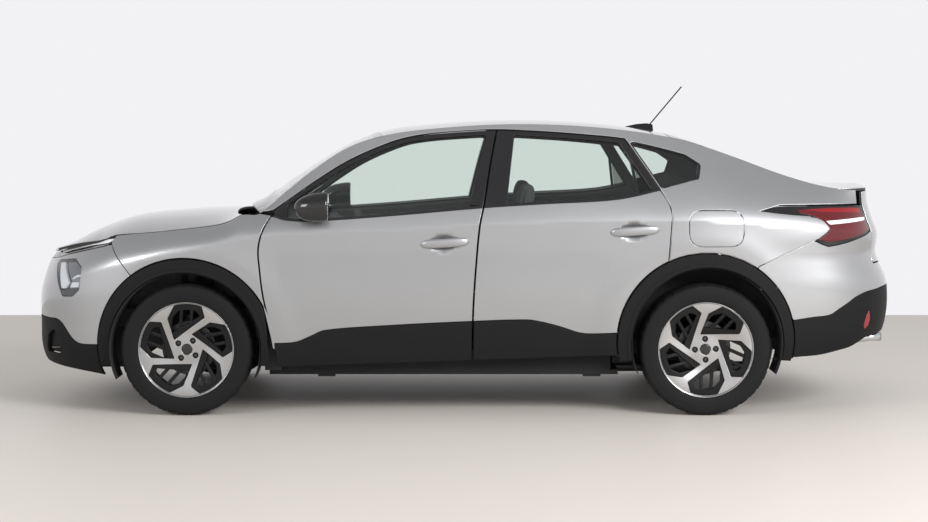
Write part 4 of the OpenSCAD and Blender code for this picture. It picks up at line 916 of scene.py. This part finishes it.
lamp_inner = [(lid_gap(z) - 8, z) for z in (1074, 1030, 985, 948)]
tail_lamp = chain(TAIL_LAMP_TOP, lamp_inner, TAIL_LAMP_LOW, TAIL_NOTCH)
bumper_edge = tail.from_side([(1507, 770), (1660, 840), (1806, 906)])
rear_clear = tail.from_side(arc(REAR_CLAD, CLEAR_R, 15, 55, 24))
rear_low_clear = tail.from_side(arc(REAR_CLAD, CLEAR_R, -11, 13.5, 10))
under_lamp = np.array(TAIL_LAMP_LOW[::-1]) - (0, 4)
under_lid = [(lid_gap(944) - 6, 940), (lid_gap(900) - 2, 900), (lid_gap(768) - 2, 768), (0, 768)]
rear_outline = both_ways(fair(REAR_BLACK, 0, 1.5)[::-1], rear_clear, bumper_edge, under_lamp, under_lid)
end_skin("rear_bumper_skin", rear_outline, tail, PAINT, stands_for="rear_bumper", grain=16)
rear_lower = both_ways(fair(REAR_LOW)[::-1], rear_low_clear, fair(REAR_BLACK, 0, -0.5))
end_skin("rear_cladding", rear_lower, tail, PLASTIC, grain=16, edge=4)
for hand, k in HANDS:
    end_skin(f"tail_lamp_{hand}", tail_lamp * (k, 1), tail, GLOSS, stands_for="tail_lamps", raised=-1,
             depth=20, grain=14)
    for name, outline, look, raised in (
            ("red_lens", RED_LENS, DEEP_RED, 0.4), ("red_band", RED_BAND, RED, 0.9),
            ("bright_line", BRIGHT_LINE, WHITE, 1.0), ("reflector", REFLECTOR, RED, 0.6)):
        end_skin(f"{name}_{hand}", rounded(outline, 5) * (k, 1), tail, look, raised=raised, depth=1.6,
                 edge=0.8, grain=14)

# Trunk lid: top with its lip, and the face between the lamps
LID_FRONT = 1818
LID_LIP_Z = 1150


def tail_x(y, z):
    return tail_line(z) * (1 - np.minimum(np.abs(y) / 900, 1) ** 3) ** 0.125


def lid_top(x, y):
    f = (x - LID_FRONT) / (tail_x(y, LID_LIP_Z) - 6 - LID_FRONT)
    return cols(x, y, roof_z(x, y) + 10 * np.maximum(f - 0.5, 0) / 0.43)


def lid_face(y, z):
    return cols(tail_x(y, z), y, z)


xs = np.linspace(LID_FRONT, 2120, 20)
lid_edge = cols(xs, edge_y(xs) - 8.4 - np.interp(xs, [LID_FRONT, 1900], [28, 0]))
ys = np.linspace(lid_edge[-1, 1] - 4, 0, 30)
lid_outline = mirrored(chain([(LID_FRONT, 0)], lid_edge, cols(tail_x(ys, LID_LIP_Z) - 3, ys)))
LID_FACE = [(-596, 774), (596, 774), (594, 940), (594, 1146), (-594, 1146), (-594, 940)]
lid_shape = {"raised": 0.8, "depth": 16, "edge": 4}
skin("lid_top", lid_outline, lid_top, UP, PAINT, "trunk_lid", stands_for="trunk_lid", **lid_shape)
skin("lid_face", rounded(LID_FACE, 12), lid_face, tail.out, PAINT, "trunk_lid", **lid_shape)
lid_inner = rounded(box(-560, 800, 560, 1130), 40)
skin("lid_inner", lid_inner, lid_face, tail.out, LINING_AND_SHUT_SHADE, "trunk_lid", raised=-15, depth=12, edge=4,
     grain=30)
gutter_z = (764, 900, 1050, 1150)
gutter = chain([(lid_gap(z) - 30, z) for z in gutter_z], [(lid_gap(z) + 46, z) for z in gutter_z[::-1]])
for hand, k in HANDS:
    end_skin(f"lid_gutter_{hand}", gutter * (k, 1), tail, PLASTIC, raised=-30, depth=5, edge=1)
lid_sill = both_ways([(lid_gap(800), 800), (lid_gap(740), 740)])
end_skin("lid_sill", lid_sill, tail, PLASTIC, raised=-34, depth=5, edge=1)

# Door mirrors: egg-shaped housing on a short foot, with its face to the rear
MIRROR_Y = -950
share = np.linspace(0, 1, 26) ** 1.5
round_by = np.maximum((1 - (1 - share) ** 2.6) ** 0.42, 0.03)
path = cols(-858 + 156 * share, MIRROR_Y, 1061 + 19 * share ** 0.7)
path = chain(path, path[-1] + [(6, 0, 0), (11, 0, 0), (14, 0, 0)])
round_by = np.append(round_by, [0.985, 0.95, 0.88])
egg = tube_mesh(path, np.outer(round_by, (66, 74)), 44)
foot_y = np.linspace(-922, -half(-812, 1040) + 3, 6)
foot = tube_mesh(cols(-812, foot_y, 1040), [(40, 19)] * 6, 24)
for name, (verts, faces), look in (("mirror_shell", egg, GLOSS), ("mirror_foot", foot, PLASTIC)):
    pair(name, verts, faces, look, "door_front_left", stands_for="mirror_left")
face = ring(1, 40) * (53, 60) + (MIRROR_Y, 1080)
skin("mirror_face", face, lambda y, z: cols(-687.4, y, z), (1, 0, 0), MIRROR, "door_front_left", both=True,
     depth=3, edge=1)

# Wheels, drawn about their own axis: u toward the rear of the car, v up, o outward
TRACK = 778
TYRE_R = 340
POCKET = [(81, 44), (191, -41), *((237, a) for a in range(-31, 5, 5)), (187, 20)]
WINDOW = [(112, 33), (182, -33), *((203, a) for a in range(-25, 2, 5)), (178, 12)]
# Turned pieces of a wheel: name, look, profile of (radius, outward) pairs and steps round
TURNED = (
    ("lip", ALLOY, [(238, 76), (239.5, 84), (242, 90), (245.5, 91), (246, 80), (238, 78)], 144),
    ("barrel", CHASSIS, [(236, 74), (222, 60), (221, 40), (221, -70), (232, -84), (245, -88)], 96),
    ("brake_disc", BRAKE, [(60, -14), (140, -14), (140, -38), (60, -38)], 72),
    ("hub", CHASSIS, [(0, 40), (74, 40), (76, 30), (76, -16)], 60),
    ("cap", GLOSS, [(0, 61), (20, 61), (26, 59.5), (27.5, 56), (27.5, 40)], 48),
    ("cap_ring", ALLOY, [(27, 55), (28.6, 61), (30.5, 62), (31.5, 58)], 48),
)
BOLT_PIECES = (("bolt_cup", GLOSS, [(0, 44), (15.2, 44), (15.4, 60)], 24),
               ("bolt", STEEL, [(0, 56), (7, 56), (8.6, 54), (9, 44)], 6))
TYRE_SIDE = [
    (234, 79), (242, 84), (249, 93), (256, 94), (262, 97), (290, 98.5), (310, 96.5), (318, 95.8),
    (321, 93.8), (326, 92.5), (333, 84), (337.5, 74), (339.5, 64)]
TREAD = [(340, 45), (333, 44), (333, 36), (340, 35), (340, 6), (333, 5)]
TYRE_STEPS = 216
SLOT_STEP, SLOT_DEPTH = 6, 5
SHOULDER_R, SHOULDER_OUT = 330, 44.5
RIB_HALF, RIB_END_R = 9, 208


def polar(points, turn):
    return np.array([(r * math.cos(math.radians(a + turn)), r * math.sin(math.radians(a + turn)))
                     for r, a in points])


def wheel_face(u, v):
    """Spoke face, which rises outward from the hub to the rim."""
    r = np.hypot(u, v)
    t = np.clip((r - 70) / 160, 0, 1)
    return cols(u, -(60 + 22 * t * t * (3 - 2 * t) + 3 * np.clip(1 - r / 80, 0, 1)), v)


def rib(turn, share):
    """Outline of a rib across a window, at a share of the window's long side."""
    apex, low, high = polar([WINDOW[0], WINDOW[1], WINDOW[-1]], turn)
    run = (high - apex) / np.hypot(*(high - apex))
    across = np.array([-run[1], run[0]]) * RIB_HALF
    start = apex + (low - apex) * share - run * 8
    reach = 0.0
    while np.hypot(*(start + run * (reach + 4))) < RIB_END_R and reach < 200:
        reach += 4
    stop = start + run * reach
    return np.array([start - across, stop - across, stop + across, start + across])


def wheel_parts(turn):
    """Pieces of one wheel as (name, look, vertices, faces, normals), outward along -y."""
    turns = [66 + turn + 72 * k for k in range(5)]
    bolts = polar([(54, 2 + 90 * k) for k in range(4)], turn)
    holes = [rounded(polar(POCKET, a), 5) for a in turns]
    holes += [*(ring(15.5, 24, b) for b in bolts), ring(29, 40)]
    windows = [rounded(polar(WINDOW, a), 9) for a in turns]
    plates = [("face", ALLOY, ring(242, 144), {"holes": holes, "depth": 5, "edge": 1.6, "grain": 9}),
              ("backing", WHEEL_BLACK, ring(239, 144),
               {"holes": windows, "raised": -7, "depth": 20, "edge": 4, "grain": 12})]
    rib_shape = {"raised": -12, "depth": 12, "edge": 4, "grain": 12}
    plates += [(f"rib_{k}_{m}", WHEEL_BLACK, rib(a, share), rib_shape)
               for k, a in enumerate(turns) for m, share in enumerate((0.3, 0.68))]
    parts = [(name, look, *skin_mesh(outline, wheel_face, LEFT, **shape)[:3])
             for name, look, outline, shape in plates]
    pieces = [(name, look, profile, count, (0, 0)) for name, look, profile, count in TURNED]
    pieces += [(f"{name}_{k}", look, profile, count, bolt)
               for k, bolt in enumerate(bolts) for name, look, profile, count in BOLT_PIECES]
    for name, look, profile, count, (u, v) in pieces:
        verts, faces = revolve(bend_round(profile), count)
        parts.append((name, look, verts * (1, -1, 1) + (u, 0, v), faces, None))
    return parts


def tyre_mesh():
    """Tyre with a round sidewall, rim guard, grooves and shoulder slots."""
    profile = mirrored(chain(bend_round(TYRE_SIDE, 3), TREAD))
    verts, faces = revolve(profile, TYRE_STEPS)
    grid = verts.reshape(TYRE_STEPS, len(profile), 3)
    for j, (radius, out) in enumerate(profile):
        if radius > SHOULDER_R and abs(out) > SHOULDER_OUT:
            shift = (j if out > 0 else len(profile) - j) // SLOT_STEP
            for i in range(TYRE_STEPS):
                if (i + shift) % SLOT_STEP == 0:
                    grid[i, j, [0, 2]] *= (radius - SLOT_DEPTH) / radius
    return grid.reshape(-1, 3) * (1, -1, 1), faces


tyre_verts, tyre_faces = tyre_mesh()
for end, x, turn in (("front", -1427, -37), ("rear", 1243, 0)):
    wheel = f"wheel_{end}_left"
    axle = (x, -TRACK, TYRE_R)
    for name, look, verts, faces, normals in wheel_parts(turn):
        rim = f"rim_{end}_left" if name == "face" else None
        pair(f"{end}_{name}", verts + axle, faces, look, wheel, normals, rim)
    pair(f"{end}_tyre", tyre_verts + axle, tyre_faces, RUBBER, wheel, None, f"tyre_{end}_left")

# Wheel housings
HOUSING_R, HOUSING_THICK, HOUSING_OUTER_Y = 388, 3, 886
for end, (cx, cz), inner_y in (("front", FRONT_ARCH, 692), ("rear", REAR_ARCH, 662)):
    a = np.radians(np.linspace(-24, 204, 60))
    thin = HOUSING_R - HOUSING_THICK
    rows = [(HOUSING_R, HOUSING_OUTER_Y), (HOUSING_R, inner_y), (thin, inner_y), (thin, HOUSING_OUTER_Y)]
    verts = [(cx + r * math.cos(t), -y, cz + r * math.sin(t)) for t in a for r, y in rows]
    pair(f"housing_{end}", verts, quads(len(a), len(rows)), UNDER_AND_GAP_SHADE, "body", stands_for="wheel_liners")
wall = chain(arc(REAR_ARCH, 386, 0, 180, 60), arc(REAR_ARCH, 130, 180, 0, 30))
side_skin("housing_wall", wall, UNDER_AND_GAP_SHADE, lift=lambda x, z: cols(x, -661, z), depth=3, grain=40)

# Seats: crowned pads with sewn channels, in the shape of the seat's side view
CROWN, WELT_DEPTH, WELT_WIDTH = 8, 6, 7
CHANNEL_DEPTH = 5


def pad(profile, low_y, high_y, edge, welts, channels=()):
    """Padded piece between two cross planes; channels are shares of the profile, welts of the half width."""
    line = dense(rounded(profile, 30, 8), 13)
    if area(line) < 0:
        line = line[::-1]
    n = len(line)
    step = unit(np.roll(line, -1, 0) - np.roll(line, 1, 0))
    outward = cols(step[:, 1], -step[:, 0])
    share = np.arange(n) / n
    middle, reach = (low_y + high_y) / 2, (high_y - low_y) / 2
    turns = np.linspace(-math.pi / 2, math.pi / 2, 61)
    verts = []
    for s in np.sign(turns) * np.abs(np.sin(turns)) ** 0.8:
        rim = max(0.0, abs(s) * reach - reach + edge)
        inward = edge - math.sqrt(max(edge ** 2 - rim ** 2, 0)) + CROWN * s * s
        inward += sum(WELT_DEPTH * math.exp(-((abs(s) - w) * reach / WELT_WIDTH) ** 2) for w in welts)
        sewn = np.full(n, inward)
        if abs(s) < welts[0]:
            sewn = sewn + sum(CHANNEL_DEPTH * np.exp(-((share - c) * n / 0.8) ** 2) for c in channels)
        at = line - outward * sewn[:, None]
        verts.append(cols(at[:, 0], middle + s * reach, at[:, 1]))
    return np.concatenate(verts), [f[::-1] for f in lofted(len(verts), n)]


CUSHION = [(-430, 350), (-440, 430), (-380, 465), (40, 455), (110, 400), (100, 350)]
BACK = [(40, 390), (125, 385), (205, 460), (360, 980), (330, 1030), (265, 1035), (215, 960), (150, 700)]
HEAD = [(280, 1050), (350, 1045), (385, 1110), (372, 1175), (310, 1185), (285, 1130)]
BENCH = [(560, 340), (548, 470), (600, 500), (980, 470), (1040, 430), (775, 430), (775, 340)]
BENCH_BACK = [(970, 430), (1090, 430), (1330, 990), (1310, 1050), (1240, 1060), (1190, 1000)]
SEWN = (0.3, 0.42)
for name, profile, low_y, high_y, edge, channels, fill in (
        ("seat_cushion", CUSHION, -620, -130, 36, SEWN, 0.85),
        ("seat_back", BACK, -610, -140, 36, SEWN, 0.8), ("head_rest", HEAD, -500, -250, 26, (), 0.9)):
    verts, faces = pad(profile, low_y, high_y, edge, (0.58,), channels)
    for piece in pair(name, verts, faces, CLOTH, "body", stands_for="front_seats"):
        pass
for name, profile, reach in (("bench_cushion", BENCH, 640), ("bench_back", BENCH_BACK, 620)):
    verts, faces = pad(profile, -reach, reach, 36, (0.33, 0.9))
    mesh_object(name, verts, faces, CLOTH, "body", stands_for="rear_bench")


def block(name, low, high, look, round_by, both=True, stands_for=None):
    """Upright block with rounded corners in plan, on the left and on the right."""
    (x0, y0, z0), (x1, y1, z1) = low, high
    plan = rounded(box(x0, y0, x1, y1), round_by)
    skin(name, plan, lambda x, y: cols(x, y, z1), UP, look, "body", both, stands_for, depth=z1 - z0,
         grain=60, edge=6)


block("seat_base", (-350, -560, 225), (40, -190, 356), INTERIOR, 40, stands_for="front_seats")
for k, y in enumerate((-430, -320)):
    verts, faces = tube_mesh([(300, y, 1015), (312, y, 1040), (324, y, 1066)], [(6, 6)] * 3, 16)
    pair(f"head_post_{k}", verts, faces, STEEL, "body")

# Dark closings behind the shut lines: hinge post and sill end, near-black as painted shade in the gaps; and
# the engine undershield
block("hinge_post", (-1078, -792, 400), (-975, -772, 1000), UNDER_AND_GAP_SHADE, 6)
block("sill_end", (770, -765, 262), (868, -700, 430), UNDER_AND_GAP_SHADE, 6)
block("undershield", (-2060, -480, 205), (-1785, 480, 420), UNDER_AND_GAP_SHADE, 60, both=False)


# Exhaust: silencer box, pipe and bright tip
def pipe(name, points, y, radius, sides, look, stands_for=None):
    """Round pipe in a plane of the car's length."""
    path = [(x, y, z) for x, z in points]
    verts, faces = tube_mesh(path, [(radius, radius)] * len(path), sides)
    mesh_object(name, verts, faces, look, "body", stands_for=stands_for)


TIP = [(1940, 345), (2040, 345), (2110, 352), (2170, 360), (2238, 362)]
PIPE = [(-900, 173), (-870, 173), (1560, 173), (1620, 186), (1660, 220), (1675, 300), (1676, 330)]
TIP_Y, PIPE_Y = -420, -200
pipe("exhaust_tip", TIP, TIP_Y, 24, 32, CHROME, "exhaust")
pipe("exhaust_bore", [(2238.2, 362), (2238.8, 362)], TIP_Y, 20, 32, UNDER_AND_GAP_SHADE)
# Pipe and silencer in dark steel: painted shade under the car; only the tip is bright.
pipe("exhaust_pipe", PIPE, PIPE_Y, 28, 24, STEEL)
block("silencer", (1640, -520, 300), (1960, -120, 400), STEEL, 70, both=False)

# Filler pocket and cap behind the fuel flap
CAP_X, CAP_Z = 1300, 965
POCKET_DEPTH = 62
cap_y = -half(CAP_X, CAP_Z)
pocket = rounded(box(1140, 864, 1436, 1066), 80, 10)
skin("filler_pocket", pocket, side, LEFT, PLASTIC, "body", raised=-POCKET_DEPTH, depth=4, edge=2)
verts, faces = revolve(bend_round([(0, 30), (20, 30), (34, 28), (38, 22), (38, 0)]), 40)
mesh_object("filler_cap", verts * (1, -1, 1) + (CAP_X, cap_y + POCKET_DEPTH, CAP_Z), faces, PLASTIC, "body")
grip = rounded(box(1268, 957, 1332, 973), 6)
skin("filler_grip", grip, lambda x, z: cols(x, cap_y + 24, z), LEFT, PLASTIC, "body", depth=10, edge=3)

# Stage, light and camera, in metres
FLOOR_Z = -0.0005
CAMERA_DOWN = 3.93
floor_mesh = bpy.data.meshes.new("studio_floor")
floor_mesh.from_pydata([(x, y, FLOOR_Z) for x, y in box(-14, -14, 14, 4.45)], [], [(0, 1, 2, 3)])
floor_mesh.materials.append(FLOOR)
floor = bpy.data.objects.new("studio_floor", floor_mesh)
scene.collection.objects.link(floor)

world = bpy.data.worlds.new("studio")
scene.world = world
world.use_nodes = True
sky = world.node_tree
place = add(sky, "TexCoord")
split = add(sky, "SeparateXYZ")
ramp = add(sky, "ValToRGB")
low, high = ramp.color_ramp.elements
low.position = 0.2
low.color = (0.89, 0.88, 0.9, 1)
high.position = 0.75
high.color = (0.42, 0.42, 0.43, 1)
wire(sky, (place, "Generated", split, "Vector"), (split, "Z", ramp, "Fac"),
     (ramp, "Color", sky.nodes["Background"], "Color"))


def lamp(name, place, aim, size, power):
    """Soft box at a place, aimed at a point."""
    light = bpy.data.lights.new(name, "AREA")
    light.shape = "RECTANGLE"
    light.size, light.size_y = size
    light.energy = power
    obj = bpy.data.objects.new(name, light)
    obj.location = place
    obj.rotation_euler = (Vector(aim) - Vector(place)).to_track_quat("-Z", "Y").to_euler()
    scene.collection.objects.link(obj)


lamp("rear_softbox", (6.0, -7.7, 4.9), (1.6, -0.6, 0.9), (4.6, 4.0), 860)
lamp("front_softbox", (-7.0, -7.0, 4.2), (-1.6, -0.4, 0.7), (3.6, 2.6), 220)

camera_data = bpy.data.cameras.new("camera")
camera_data.lens = 72.2
camera_data.sensor_width = 36
camera = bpy.data.objects.new("camera", camera_data)
camera.location = (0, -10.37, 1.451)
camera.rotation_euler = (math.radians(90 - CAMERA_DOWN), 0, 0)
scene.collection.objects.link(camera)
scene.camera = camera
scene.view_settings.view_transform = "Standard"
